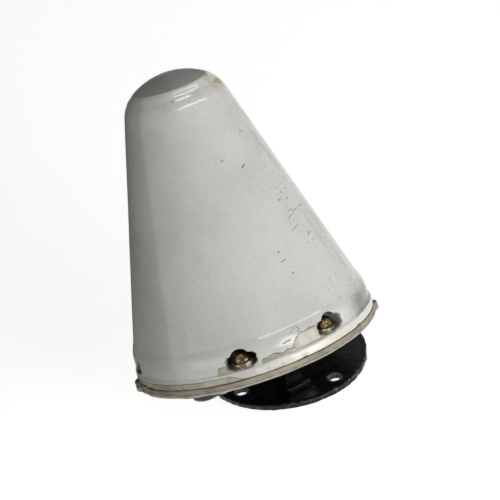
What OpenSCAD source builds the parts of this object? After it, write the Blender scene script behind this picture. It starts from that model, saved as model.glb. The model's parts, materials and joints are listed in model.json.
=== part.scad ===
// Conical radar scanner in a moulded radome, on a levelling mount with a round deck flange.
//
// Part frame: origin at the centre of the flange's lower face, +Z up, tilt axis along Y.
// Everything above the tilt pivot is drawn in the head frame. Its origin is the centre of the
// radome's lower rim, its +Z is the axis of the cone, and head() places it in the part frame.

/* [Radome] */
// Outer diameter of the radome's rim
rim_d = 165; // [150:1:200]
// Height of the radome above its rim
dome_h = 190; // [155:1:220]
// Wall thickness of the moulding
wall = 3; // [2.4:0.2:3.6]
// Radius of the crown at the very top
crown_r = 46.5; // [42:0.5:60]
// Radius of the rounded edge round the crown
top_fillet = 23.5; // [18:0.5:26]
// Diameter of the circle that edge is centred on
top_d = 25; // [20:1:30]
// Radius of the flat spot left by the mould's gate
gate_r = 3; // [2:0.5:5]
// Height of the shoulder where the cone ends
shoulder_z = 23; // [22:0.5:30]
// How far the end of the cone lies inside the rim
shoulder_inset = 4.4; // [4:0.2:7]
// Radius of the rounded shoulder below the cone
bulge_r = 25; // [20:1:35]
// How far the lip stands out from the band above it
lip_proud = 1.3; // [0.6:0.1:2]
// Height of the lip
lip_h = 6; // [4:0.5:8]

/* [Radome screws] */
// Number of pairs of screws round the rim
pair_count = 3; // [2:1:4]
// Turn of the first pair about the cone's axis
pair_turn = -8; // [-30:1:30]
// Angle between the two screws of a pair
pair_angle = 47; // [40:1:56]
// Distance of the screw seats inside the rim
screw_inset = 10; // [10:0.5:12]
// Outward lean of the screws
screw_lean = 15; // [12:1:16]
// Height of the screw seats above the rim
seat_z = 8.8; // [8.8:0.2:10]
// Width of the recess at the washer
slot_w = 20; // [19.5:0.5:22]
// Height of the recess at the washer
slot_h = 3.4; // [3:0.2:4]
// Width of the recess round the screw head
arch_w = 14.4; // [13.8:0.2:16]
// Height of the recess at its arch
arch_h = 12.4; // [12:0.2:14]
// Thickness of the recess walls
pocket_wall = 2.4; // [1.8:0.2:3]
// Thickness of the recess floor
pocket_floor_t = 3.5; // [2.5:0.5:4]
// Diameter of the screw shank
screw_d = 6; // [5:1:6]
// Diameter of the screw head
screw_head_d = 13.2; // [11:0.2:13.2]
// Height of the screw head
screw_head_h = 6.2; // [4:0.2:6.6]
// Diameter of the cup washer
washer_d = 19; // [16:0.5:19]
// Height of the cup washer
washer_h = 2.4; // [1.5:0.1:2.8]

/* [Base] */
// Thickness of the base tray
tray_t = 4; // [3:0.5:6]
// Thickness of the rim gasket
gasket_t = 1; // [0.8:0.1:2]
// Distance of the tray's edge inside the rim
tray_inset = 2.5; // [2:0.1:3]
// Height of the locating spigot on the tray
spigot_h = 3.5; // [2:0.5:4]
// Thickness of the locating spigot
spigot_t = 3; // [2:0.5:4]
// Depth of the sealant under the tray's edge
sealant_drop = 2.5; // [1.5:0.5:3]
// Width of the sealant under the tray's edge
sealant_w = 8; // [4:1:12]

/* [Levelling mount] */
// Diameter of the deck flange
flange_d = 112; // [105:1:130]
// Thickness of the deck flange
flange_t = 4; // [3:0.5:5]
// Diameter of the bolt circle
bolt_circle_d = 90; // [84:1:104]
// Diameter of the deck bolt holes
bolt_hole_d = 9; // [7:0.5:11]
// Turn of the bolt holes about Z
bolt_turn = 16; // [10:1:22]
// Lean of the head at rest
lean = 18; // [10:1:18]
// Distance of the pivot from the flange's centre, along X
pivot_x = 23.3; // [20:0.1:26]
// Height of the pivot above the flange's lower face
pivot_z = 23.2; // [18:0.2:26]
// Distance of the cone's axis from the flange's centre, along Y
head_y = -28; // [-34:1:-26]
// Distance from the pivot up to the radome's rim
pivot_drop = 20; // [20:0.5:26]
// Radius of the knuckle's round ends
knuckle_r = 9.5; // [9:0.5:10]
// Thickness of the arm's eye
eye_t = 14; // [10:1:16]
// Thickness of the flange's lug
lug_t = 14; // [10:1:16]
// Thickness of the friction disc between them
disc_t = 2; // [1:0.5:3]
// Diameter of the pivot bolt
pivot_d = 8; // [6:1:10]
// Diameter of the arm's round pad
pad_d = 44; // [40:1:50]
// Thickness of the arm's round pad
pad_t = 4; // [3:0.5:5]

/* [Scanner] */
// Height of the chassis plate above the rim
chassis_z = 18; // [17:0.5:20]
// Thickness of the chassis plate
chassis_t = 3; // [2:0.5:4]
// Diameter of the chassis plate
chassis_d = 112; // [108:1:116]
// Diameter of the spindle
spindle_d = 10; // [9:1:12]
// Height of the bearing housing
housing_h = 22; // [18:1:26]
// Teeth on the scanner's gear
gear_teeth = 48; // [44:4:52]
// Teeth on the motor's pinion
pinion_teeth = 12; // [12:2:14]
// Face width of the gears
gear_face = 6; // [4:0.5:8]
// Diameter of the drive motor
motor_d = 28; // [24:1:28]
// Height of the drive motor
motor_h = 20; // [16:1:21]
// Gap kept between the turning panel and the radome
panel_gap = 9; // [7:0.5:14]
// Gap kept between the panel and the top of the radome
panel_top_gap = 32; // [28:1:44]
// Thickness of the antenna board
board_t = 1.6; // [1:0.2:2.4]
// Spacing of the radiating patches
patch_pitch = 11; // [10:0.5:14]
// Width of each radiating patch
patch_w = 7; // [5:0.5:8]

/* [Hidden] */
$fn = 96;

// Module of the gears
gear_mod = 1.25;

// Clearances
run = 0.05;      // a shaft turning in a bore, on the radius
fit = 0.02;      // a fixed pin in its hole, on the radius
face_gap = 0.1;  // flat faces that turn past each other
play = 0.3;      // pieces that only have to pass each other

// Radome outline
rim_r = rim_d / 2;
band_r = rim_r - lip_proud;
cone_end = [rim_r - shoulder_inset, shoulder_z];
crown_z = dome_h - sqrt(pow(crown_r, 2) - pow(gate_r, 2));
cap_c = [top_d / 2, crown_z + sqrt(pow(crown_r - top_fillet, 2) - pow(top_d / 2, 2))];
bulge_x = band_r - bulge_r;
bulge_z = shoulder_z - sqrt(pow(bulge_r, 2) - pow(cone_end.x - bulge_x, 2));
cone_a = atan2(cone_end.x - cap_c.x, cap_c.y - cone_end.y)
    - asin(top_fillet / norm(cone_end - cap_c));
function cone_r(z) = cone_end.x - (z - cone_end.y) * tan(cone_a);
function inner_r(z) = cone_r(z) - wall / cos(cone_a);

// Radome screws, each drawn from the centre of its seat, with +Z up its own axis
screw_r = rim_r - screw_inset;
recess_reach = 2 * screw_inset;
shank_r = screw_d / 2;
insert_r = shank_r + 1.3;
insert_depth = 1.5;
boss_r = insert_r + 2.2;
boss_top = -pocket_floor_t - 0.2;

// Base
tray_top = -gasket_t;
tray_bottom = tray_top - tray_t;
tray_r = rim_r - tray_inset;
skirt_r = band_r - wall;
spigot_r = skirt_r - 0.4;
sealant_r = rim_r + 0.2;
insert_foot = (tray_top - insert_depth - seat_z) / cos(screw_lean);
boss_foot = 2 * insert_foot; // below the tray, where it is cut off level

// Pivot, along Y
pivot_r = pivot_d / 2;
eye_back = head_y - eye_t / 2;
eye_front = head_y + eye_t / 2;
disc_back = eye_front + face_gap;
lug_back = disc_back + disc_t;
lug_front = lug_back + lug_t;
pivot_washer_t = 1.6;
pivot_washer_r = pivot_r + 4;
pivot_head_h = 5.3;
pivot_nut_h = 8;
pivot_hex = 13;
foot = [30, 18, 3];
web_w = 2 * knuckle_r - 1.6;

// Pad screws
pad_bottom = tray_bottom - pad_t;
pad_screw_n = 4;
pad_screw_r = 2.5;
pad_screw_ring = pad_d / 2 - 6;
pad_head_r = 4.6;
pad_head_h = 2.8;

// Cable gland, below the tray
gland_at = [0, -45];
gland_r = 8;
gland_hex = 19;
gland_collar_h = 5;
gland_washer_t = 1;
gland_thread_h = 9;
gland_cap_t = 3;
gland_seal_r = 6;
cable_r = 3.5;

// Vent plug
vent_at = [-20, 49];
vent_r = 4;

// Chassis
chassis_top = chassis_z + chassis_t;
standoff_n = 4;
standoff_r = chassis_d / 2 - 4.5;
standoff_af = 7;
small_r = 1.5;
small_head_r = 2.75;
small_head_h = 2;

// Bearings and spindle
spindle_r = spindle_d / 2;
spindle_bore_r = 2.5;
bush_r = spindle_r + 3;
bush_l = 8;
housing_r = bush_r + 1.8;
housing_flange_r = housing_r + 8;
housing_top = chassis_top + housing_h;
spindle_foot = 9.5;
circlip_t = 1;
rotor_r = spindle_r + 3;
stator_r = rotor_r + 5;

// Gears
gear_r = gear_mod * gear_teeth / 2;
pinion_r = gear_mod * pinion_teeth / 2;
gear_z = housing_top + 1.5;
gear_top = gear_z + gear_face;
motor_at = [-(gear_r + pinion_r), 0];
motor_shaft_r = 1.5;

// Turntable and panel
table_z = gear_top + 1.5;
table_t = 3;
table = [26, 64];
table_top = table_z + table_t;
nut_h = 4;
frame_t = 2;
frame_x = 6;
panel_low = table_top + frame_t + 3;
panel_high = dome_h - panel_top_gap;
spacer_h = 3;
panel_x = frame_x + frame_t + spacer_h;
panel_reach = panel_x + board_t + 1;
function panel_half(z) = sqrt(pow(inner_r(z) - panel_gap, 2) - pow(panel_reach, 2));
patch_t = 0.4;

// Transceiver board
pcb = [72, 62];
pcb_z = 5;
pcb_t = 1.6;
pcb_top = pcb_z + pcb_t;

// ---------------------------------------------------------------- shared shapes

module head() {
    translate([pivot_x, head_y, pivot_z]) rotate([0, -lean, 0]) translate([0, 0, pivot_drop]) children();
}

module along_y(from) {
    translate([pivot_x, from, pivot_z]) rotate([-90, 0, 0]) children();
}

module ring(outer, inner, h) {
    difference() {
        cylinder(h = h, r = outer);
        translate([0, 0, -1]) cylinder(h = h + 2, r = inner);
    }
}

module hex(across, h) {
    cylinder(h = h, r = across / sqrt(3), $fn = 6);
}

module around(count, radius, turn = 0) {
    for (i = [0 : count - 1]) rotate([0, 0, turn + i * 360 / count]) translate([radius, 0, 0]) children();
}

module pan_screw(shank, length, head_r, head_h) {
    difference() {
        union() {
            translate([0, 0, -length]) cylinder(h = length, r = shank);
            cylinder(h = head_h, r = head_r);
        }
        translate([0, 0, head_h * 0.5]) hex(head_r * 0.9, head_h);
    }
}

module gear_outline(teeth, bore) {
    pitch = gear_mod * teeth / 2;
    root = pitch - 1.25 * gear_mod;
    tip = pitch + 0.85 * gear_mod;
    difference() {
        union() {
            circle(r = root);
            for (i = [0 : teeth - 1]) rotate(i * 360 / teeth)
                polygon([[root - 0.4, -gear_mod], [tip, -0.34 * gear_mod],
                    [tip, 0.34 * gear_mod], [root - 0.4, gear_mod]]);
        }
        circle(r = bore);
    }
}

// ---------------------------------------------------------------- levelling mount

module mount_flange() color("#1b1c1f") difference() {
    union() {
        cylinder(h = flange_t, d = flange_d);
        translate([pivot_x - foot.x / 2, lug_back + lug_t / 2 - foot.y / 2, flange_t]) cube(foot);
        translate([pivot_x - web_w / 2, lug_back, flange_t])
            cube([web_w, lug_t, pivot_z - flange_t]);
        along_y(lug_back) cylinder(h = lug_t, r = knuckle_r);
    }
    around(4, bolt_circle_d / 2, bolt_turn) translate([0, 0, -1])
        cylinder(h = flange_t + 2, d = bolt_hole_d);
    along_y(lug_back - 1) cylinder(h = lug_t + 2, r = pivot_r + fit);
}

module pivot_bolt() color("#9a9b98") union() {
    along_y(eye_back - face_gap - pivot_washer_t - pivot_head_h) hex(pivot_hex, pivot_head_h);
    along_y(eye_back - face_gap - pivot_washer_t)
        cylinder(h = lug_front - eye_back + 2 * pivot_washer_t + pivot_nut_h + 1, r = pivot_r);
}

module pivot_washers() color("#a7a8a5") {
    along_y(eye_back - face_gap - pivot_washer_t) ring(pivot_washer_r, pivot_r + fit, pivot_washer_t);
    along_y(lug_front) ring(pivot_washer_r, pivot_r + fit, pivot_washer_t);
}

module pivot_nut() color("#9a9b98") along_y(lug_front + pivot_washer_t) difference() {
    hex(pivot_hex, pivot_nut_h);
    translate([0, 0, -1]) cylinder(h = pivot_nut_h + 2, r = pivot_r + fit);
}

module friction_disc() color("#4a3a2c") along_y(disc_back) ring(knuckle_r - 0.5, pivot_r + fit, disc_t);

module tilt_arm() color("#1f2023") head() difference() {
    union() {
        translate([0, -eye_t / 2, -pivot_drop]) rotate([-90, 0, 0]) cylinder(h = eye_t, r = knuckle_r);
        translate([-web_w / 2, -eye_t / 2, -pivot_drop])
            cube([web_w, eye_t, pivot_drop + pad_bottom + pad_t / 2]);
        translate([0, 0, pad_bottom]) cylinder(h = pad_t, d = pad_d);
    }
    translate([0, -eye_t / 2 - 1, -pivot_drop]) rotate([-90, 0, 0]) cylinder(h = eye_t + 2, r = pivot_r + run);
    around(pad_screw_n, pad_screw_ring, 45) translate([0, 0, pad_bottom - 1])
        cylinder(h = pad_t + 2, r = pad_screw_r + fit);
}

module arm_screws() color("#b4b5b2") head() around(pad_screw_n, pad_screw_ring, 45)
    translate([0, 0, tray_top]) pan_screw(pad_screw_r, tray_t + pad_t, pad_head_r, pad_head_h);

// ---------------------------------------------------------------- base and radome

module base_tray() color("#8d877b") head() difference() {
    union() {
        translate([0, 0, tray_bottom]) cylinder(h = tray_t, r = tray_r);
        translate([0, 0, tray_bottom]) ring(spigot_r, spigot_r - spigot_t, tray_t + spigot_h);
        intersection() {
            at_screws() translate([0, 0, boss_foot]) cylinder(h = boss_top - boss_foot, r = boss_r);
            translate([0, 0, tray_bottom + 1]) cylinder(h = seat_z - tray_bottom, r = spigot_r - 0.5);
        }
    }
    at_screws() translate([0, 0, insert_foot]) cylinder(h = boss_top - insert_foot + 1, r = insert_r + fit);
    around(pad_screw_n, pad_screw_ring, 45) translate([0, 0, tray_bottom - 1])
        cylinder(h = tray_t + 2, r = pad_screw_r + 0.2);
    translate([gland_at.x, gland_at.y, tray_bottom - 1]) cylinder(h = tray_t + 2, r = gland_r);
    translate([vent_at.x, vent_at.y, tray_bottom - 1]) cylinder(h = tray_t + 2, r = vent_r);
}

module rim_gasket() color("#26241f") head() translate([0, 0, -gasket_t])
    ring(tray_r, spigot_r + 0.2, gasket_t);

module sealant_bead() color("#a39d91") head() rotate_extrude() polygon([
    [tray_r, 0], [sealant_r, 0], [sealant_r, tray_bottom - sealant_drop + 1],
    [sealant_r - 1, tray_bottom - sealant_drop], [tray_r - sealant_w, tray_bottom - sealant_drop],
    [tray_r - sealant_w, tray_bottom], [tray_r, tray_bottom]]);

module dome_outline(inset, foot_z) {
    cone_n = [cos(cone_a), sin(cone_a)];
    crown_n = (cap_c - [0, crown_z]) / (crown_r - top_fillet);
    polygon([[0, foot_z], [band_r - inset, foot_z], [band_r - inset, bulge_z],
        [cone_r(bulge_z) - inset / cos(cone_a), bulge_z], cap_c + (top_fillet - inset) * cone_n,
        cap_c, [0, crown_z]]);
    translate(cap_c) intersection() {
        circle(r = top_fillet - inset);
        translate([0, -top_fillet]) square([top_fillet, 2 * top_fillet]);
    }
    intersection() {
        translate([0, crown_z]) circle(r = crown_r - inset);
        polygon([[0, crown_z], [0, crown_z] + 2 * crown_r * crown_n, [0, dome_h + crown_r]]);
        square([crown_r, dome_h - inset]);
    }
    translate([bulge_x, bulge_z]) intersection() {
        circle(r = bulge_r - inset);
        square([bulge_r, bulge_r]);
    }
}

module at_screws() {
    for (side = [-0.5, 0.5]) around(pair_count, screw_r, pair_turn + side * pair_angle)
        translate([0, 0, seat_z]) rotate([0, screw_lean, 0]) children();
}

module recess(floor_z, grow) {
    slot_r = slot_w / 2 + grow;
    arch_r = arch_w / 2 + grow;
    arch_z = arch_h - arch_w / 2;
    translate([0, 0, floor_z]) {
        cylinder(h = slot_h + grow - floor_z, r = slot_r);
        translate([0, -slot_r, 0]) cube([recess_reach, 2 * slot_r, slot_h + grow - floor_z]);
    }
    translate([-arch_r, 0, 0]) rotate([90, 0, 90]) linear_extrude(recess_reach + arch_r) {
        translate([-arch_r, floor_z]) square([2 * arch_r, arch_z - floor_z]);
        translate([0, arch_z]) intersection() {
            circle(r = arch_r);
            translate([-arch_r, 0]) square([2 * arch_r, arch_r]);
        }
    }
}

module radome() color("#dcdcd8") head() difference() {
    union() {
        rotate_extrude() difference() {
            union() {
                dome_outline(0, 0);
                square([rim_r, lip_h]);
            }
            dome_outline(wall, -1);
        }
        intersection() {
            at_screws() recess(-pocket_floor_t, pocket_wall);
            rotate_extrude() dome_outline(0, 0);
        }
    }
    at_screws() {
        recess(0, 0);
        translate([0, 0, -pocket_floor_t - 1]) cylinder(h = pocket_floor_t + 2, r = shank_r + 0.3);
    }
}

module radome_screws() color("#a98f5a") head() at_screws() difference() {
    union() {
        translate([0, 0, insert_foot + 0.5]) cylinder(h = washer_h - insert_foot, r = shank_r);
        translate([0, 0, washer_h]) intersection() {
            cylinder(h = screw_head_h, d = screw_head_d);
            translate([0, 0, screw_head_h - screw_head_d * 0.62]) sphere(r = screw_head_d * 0.62);
        }
    }
    for (a = [0, 90]) rotate([0, 0, a])
        translate([-screw_head_d * 0.24, -0.6, washer_h + screw_head_h - 2]) cube([screw_head_d * 0.48, 1.2, 3]);
}

module cup_washers() color("#b9b4a3") head() at_screws() rotate_extrude() polygon([
    [shank_r + 0.2, 0], [washer_d / 2, 0], [washer_d / 2, 0.8],
    [screw_head_d / 2 + 0.3, washer_h], [shank_r + 0.2, washer_h]]);

module screw_inserts() color("#b08d4a") head() at_screws() translate([0, 0, insert_foot])
    ring(insert_r, shank_r + fit, boss_top - insert_foot);

// ---------------------------------------------------------------- cable gland and vent

module at_gland(z) {
    head() translate([gland_at.x, gland_at.y, z]) children();
}

gland_collar = tray_bottom - gland_washer_t - gland_collar_h;
gland_end = gland_collar - gland_thread_h;

module gland_body() color("#202124") at_gland(0) difference() {
    union() {
        translate([0, 0, gland_collar]) hex(gland_hex, gland_collar_h);
        translate([0, 0, gland_end]) cylinder(h = tray_top + 8 - gland_end, r = gland_r - fit);
    }
    translate([0, 0, gland_end - 1]) cylinder(h = 40, r = cable_r + 1);
    translate([0, 0, gland_end - 1]) cylinder(h = gland_thread_h + 1, r = gland_seal_r + fit);
}

module gland_washer() color("#2c2a28") at_gland(tray_bottom - gland_washer_t)
    ring(gland_hex / 2, gland_r, gland_washer_t);

module gland_locknut() color("#26272a") at_gland(tray_top) difference() {
    hex(gland_hex + 3, 4);
    translate([0, 0, -1]) cylinder(h = 6, r = gland_r);
}

module gland_seal() color("#3a3834") at_gland(gland_end) ring(gland_seal_r, cable_r, gland_thread_h - 1);

module gland_nut() color("#202124") at_gland(gland_end - gland_cap_t) difference() {
    intersection() {
        hex(gland_hex, gland_thread_h + gland_cap_t - 0.5);
        translate([0, 0, gland_hex * 0.62]) sphere(r = gland_hex * 0.75);
    }
    translate([0, 0, -1]) cylinder(h = gland_cap_t + 2, r = cable_r + 0.4);
    translate([0, 0, gland_cap_t]) cylinder(h = gland_thread_h, r = gland_r);
}

module vent_plug() color("#3c3d40") head() translate([vent_at.x, vent_at.y, tray_bottom]) union() {
    translate([0, 0, -2.5]) cylinder(h = 2.5, r = vent_r + 2);
    cylinder(h = tray_t + 2, r = vent_r - fit);
}

// ---------------------------------------------------------------- chassis and bearings

module chassis_plate() color("#b9bcbe") head() translate([0, 0, chassis_z]) difference() {
    cylinder(h = chassis_t, d = chassis_d);
    translate([0, 0, -1]) cylinder(h = chassis_t + 2, r = bush_r + 0.5);
    around(standoff_n, standoff_r, 45) translate([0, 0, -1]) cylinder(h = chassis_t + 2, r = small_r + 0.2);
    around(3, housing_flange_r - 4, 30) translate([0, 0, -1]) cylinder(h = chassis_t + 2, r = small_r + fit);
    translate([motor_at.x, motor_at.y, 0]) around(2, motor_d / 2 - 5, 90)
        translate([0, 0, -1]) cylinder(h = chassis_t + 2, r = small_r + 0.2);
}

module chassis_standoffs() color("#c2b280") head() around(standoff_n, standoff_r, 45)
    translate([0, 0, tray_top]) difference() {
        hex(standoff_af, chassis_z - tray_top);
        translate([0, 0, chassis_z - tray_top - 8]) cylinder(h = 9, r = small_r + fit);
    }

module chassis_screws() color("#a7a8a5") head() around(standoff_n, standoff_r, 45)
    translate([0, 0, chassis_top]) pan_screw(small_r, chassis_t + 6, small_head_r, small_head_h);

module bearing_housing() color("#a9adb0") head() translate([0, 0, chassis_top]) difference() {
    union() {
        cylinder(h = 3, r = housing_flange_r);
        cylinder(h = housing_h, r = housing_r);
    }
    translate([0, 0, -1]) cylinder(h = housing_h + 2, r = bush_r);
    around(3, housing_flange_r - 4, 30) translate([0, 0, -1]) cylinder(h = 5, r = small_r + 0.2);
}

module housing_screws() color("#a7a8a5") head() around(3, housing_flange_r - 4, 30)
    translate([0, 0, chassis_top + 3]) pan_screw(small_r, 3 + chassis_t, small_head_r, small_head_h);

module spindle_bushes() color("#b5803c") head() for (z = [chassis_top, housing_top - bush_l])
    translate([0, 0, z]) ring(bush_r - fit, spindle_r + run, bush_l);

// ---------------------------------------------------------------- turning scanner

module spindle() color("#c9cbcc") head() translate([0, 0, spindle_foot])
    ring(spindle_r, spindle_bore_r, table_top + frame_t + nut_h + 1 - spindle_foot);

module spindle_circlip() color("#55565a") head() translate([0, 0, chassis_top - circlip_t - play])
    ring(bush_r - 0.6, spindle_r + fit, circlip_t);

module slip_ring_rotor() color("#7a5a2b") head() translate([0, 0, spindle_foot + 1])
    ring(rotor_r, spindle_r + fit, chassis_z - spindle_foot - 2);

module slip_ring_stator() color("#2d3034") head() translate([0, 0, spindle_foot + 1])
    ring(stator_r, rotor_r + 0.5, chassis_z - spindle_foot - 1);

module scan_gear() color("#e4e0d2") head() difference() {
    union() {
        translate([0, 0, housing_top + 2 * face_gap]) cylinder(h = gear_z - housing_top, r = bush_r - 1);
        translate([0, 0, gear_z]) linear_extrude(gear_face) gear_outline(gear_teeth, spindle_r + fit);
        translate([0, 0, gear_top - 0.5]) cylinder(h = table_z - gear_top + 0.5, r = bush_r + 3);
    }
    translate([0, 0, housing_top]) cylinder(h = gear_face + 6, r = spindle_r + fit);
    around(6, gear_r * 0.62, 30) translate([0, 0, gear_z - 1]) cylinder(h = gear_face + 2, r = gear_r * 0.16);
}

module turntable() color("#b4b8ba") head() translate([0, 0, table_z]) difference() {
    translate([-table.x / 2, -table.y / 2, 0]) cube([table.x, table.y, table_t]);
    translate([0, 0, -1]) cylinder(h = table_t + 2, r = spindle_r + fit);
    for (y = [-1, 1] * (table.y / 2 - 6)) translate([0, y, -1]) cylinder(h = table_t + 2, r = small_r + fit);
}

module turntable_nut() color("#c4c6c4") head() translate([0, 0, table_top + frame_t]) difference() {
    hex(spindle_d + 7, nut_h);
    translate([0, 0, -1]) cylinder(h = nut_h + 2, r = spindle_r + fit);
}

module balance_weight() color("#9b8350") head()
    translate([-table.x / 2 - 5, -10, table_z]) cube([5, 20, table_t + 6]);

module panel_sheet(t) {
    rotate([90, 0, 90]) linear_extrude(t) polygon([
        [-panel_half(panel_low), panel_low], [panel_half(panel_low), panel_low],
        [panel_half(panel_high), panel_high], [-panel_half(panel_high), panel_high]]);
}

module panel_frame() color("#aeb2b4") head() difference() {
    union() {
        translate([frame_x, 0, 0]) panel_sheet(frame_t);
        translate([-table.x / 2, -table.y / 2, table_top]) cube([table.x / 2 + frame_x + frame_t, table.y, frame_t]);
        translate([frame_x, -table.y / 2, table_top]) cube([frame_t, table.y, panel_low - table_top + 1]);
    }
    translate([0, 0, table_top - 1]) cylinder(h = frame_t + 2, r = spindle_r + fit);
    for (y = [-1, 1] * (table.y / 2 - 6)) translate([0, y, table_top - 1]) cylinder(h = frame_t + 2, r = small_r + 0.2);
    translate([frame_x - 1, 0, table_top + frame_t + nut_h / 2]) rotate([0, 90, 0])
        cylinder(h = frame_t + 2, r = spindle_r + 4.2);
    panel_fixings() translate([-1, 0, 0]) rotate([0, 90, 0]) cylinder(h = frame_t + 2, r = small_r + fit);
}

module foot_screws() color("#a7a8a5") head() for (y = [-1, 1] * (table.y / 2 - 6))
    translate([0, y, table_top + frame_t]) pan_screw(small_r, frame_t + table_t, small_head_r, small_head_h);

module panel_fixings() {
    for (z = [panel_low + 5, panel_high - 5], s = [-1, 1])
        translate([frame_x, s * (panel_half(z) - 5), z]) children();
}

module panel_board() color("#2f6b3c") head() difference() {
    translate([panel_x, 0, 0]) panel_sheet(board_t);
    panel_fixings() rotate([0, 90, 0]) cylinder(h = 20, r = small_r + 0.2);
}

patch_rows = floor((panel_high - panel_low - 14) / patch_pitch);
function patch_row_z(i) = panel_low + 12 + i * patch_pitch;
function patch_cols(i) = floor((panel_half(patch_row_z(i) + patch_w / 2) - 9) / patch_pitch);

module radiating_patches() color("#c98a4b") head() for (i = [0 : patch_rows - 1])
    for (j = [-patch_cols(i) : patch_cols(i)])
        translate([panel_x + board_t, j * patch_pitch - patch_w / 2, patch_row_z(i) - patch_w / 2])
            cube([patch_t, patch_w, patch_w]);

module panel_spacers() color("#d8d4c6") head() panel_fixings() translate([frame_t, 0, 0])
    rotate([0, 90, 0]) ring(small_r + 1.3, small_r + 0.2, spacer_h);

module panel_screws() color("#a7a8a5") head() panel_fixings()
    translate([frame_t + spacer_h + board_t, 0, 0]) rotate([0, 90, 0])
        pan_screw(small_r, board_t + spacer_h + frame_t, small_head_r, 1.6);

// ---------------------------------------------------------------- drive

module at_motor(z) {
    head() translate([motor_at.x, motor_at.y, z]) children();
}

module drive_motor() color("#8f9294") at_motor(chassis_top) difference() {
    union() {
        cylinder(h = motor_h, d = motor_d);
        cylinder(h = motor_h + 1.5, r = 4.5);
    }
    translate([0, 0, motor_h - 9]) cylinder(h = 12, r = motor_shaft_r + run);
    around(2, motor_d / 2 - 5, 90) translate([0, 0, -1]) cylinder(h = 7, r = small_r + fit);
}

module motor_screws() color("#a7a8a5") at_motor(chassis_z) around(2, motor_d / 2 - 5, 90)
    mirror([0, 0, 1]) pan_screw(small_r, chassis_t + 5, small_head_r, small_head_h);

module motor_shaft() color("#c9cbcc") at_motor(chassis_top + motor_h - 8.5)
    cylinder(h = gear_top + 0.8 - chassis_top - motor_h + 8.5, r = motor_shaft_r);

module motor_pinion() color("#b08d4a") at_motor(gear_z) rotate([0, 0, 180 / pinion_teeth])
    linear_extrude(gear_face) gear_outline(pinion_teeth, motor_shaft_r + fit);

// ---------------------------------------------------------------- electronics

module pcb_fixings() {
    for (x = [-1, 1], y = [-1, 1]) translate([x * (pcb.x / 2 - 5), y * (pcb.y / 2 - 5), 0]) children();
}

module transceiver_board() color("#1f5a34") head() translate([0, 0, pcb_z]) difference() {
    translate([-pcb.x / 2, -pcb.y / 2, 0]) cube([pcb.x, pcb.y, pcb_t]);
    pcb_fixings() translate([0, 0, -1]) cylinder(h = pcb_t + 2, r = small_r + 0.2);
}

module board_spacers() color("#c2b280") head() pcb_fixings() translate([0, 0, tray_top])
    ring(small_r + 1.5, small_r + fit, pcb_z - tray_top);

module board_screws() color("#a7a8a5") head() pcb_fixings() translate([0, 0, pcb_top])
    pan_screw(small_r, pcb_t + 4, small_head_r, small_head_h);

module shield_can() color("#cfd2d3") head() translate([stator_r + 3, -22, pcb_top]) difference() {
    cube([18, 44, 7]);
    translate([0.6, 0.6, -0.6]) cube([16.8, 42.8, 7]);
}

module terminal_block() color("#2f8a4e") head() translate([-34, -12, pcb_top]) cube([9, 24, 8]);

module index_magnet() color("#6f7276") head() translate([gear_r * 0.85, 0, gear_z - 2]) cylinder(h = 2, r = 1.5);

module index_sensor() color("#2b2c2e") head() translate([gear_r * 0.85 - 3, -3, chassis_top])
    cube([6, 6, gear_z - 2 - chassis_top - 1]);

// ---------------------------------------------------------------- nodes

mount_flange();
pivot_bolt();
pivot_washers();
pivot_nut();
friction_disc();
tilt_arm();
arm_screws();
base_tray();
rim_gasket();
sealant_bead();
radome();
radome_screws();
cup_washers();
screw_inserts();
gland_body();
gland_washer();
gland_locknut();
gland_seal();
gland_nut();
vent_plug();
chassis_plate();
chassis_standoffs();
chassis_screws();
bearing_housing();
housing_screws();
spindle_bushes();
spindle();
spindle_circlip();
slip_ring_rotor();
slip_ring_stator();
scan_gear();
turntable();
turntable_nut();
balance_weight();
panel_frame();
foot_screws();
panel_board();
radiating_patches();
panel_spacers();
panel_screws();
drive_motor();
motor_screws();
motor_shaft();
motor_pinion();
transceiver_board();
board_spacers();
board_screws();
shield_can();
terminal_block();
index_magnet();
index_sensor();
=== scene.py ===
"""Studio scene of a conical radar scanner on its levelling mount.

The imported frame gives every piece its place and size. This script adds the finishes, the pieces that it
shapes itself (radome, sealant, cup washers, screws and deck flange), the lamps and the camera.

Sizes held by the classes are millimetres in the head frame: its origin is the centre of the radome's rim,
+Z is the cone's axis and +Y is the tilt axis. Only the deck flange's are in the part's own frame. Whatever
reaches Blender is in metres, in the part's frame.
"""

from __future__ import annotations

import json
import logging
import math
from collections.abc import Callable, Sequence
from dataclasses import dataclass
from enum import Enum

import bmesh
import bpy
from mathutils import Matrix, Vector, noise

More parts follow.
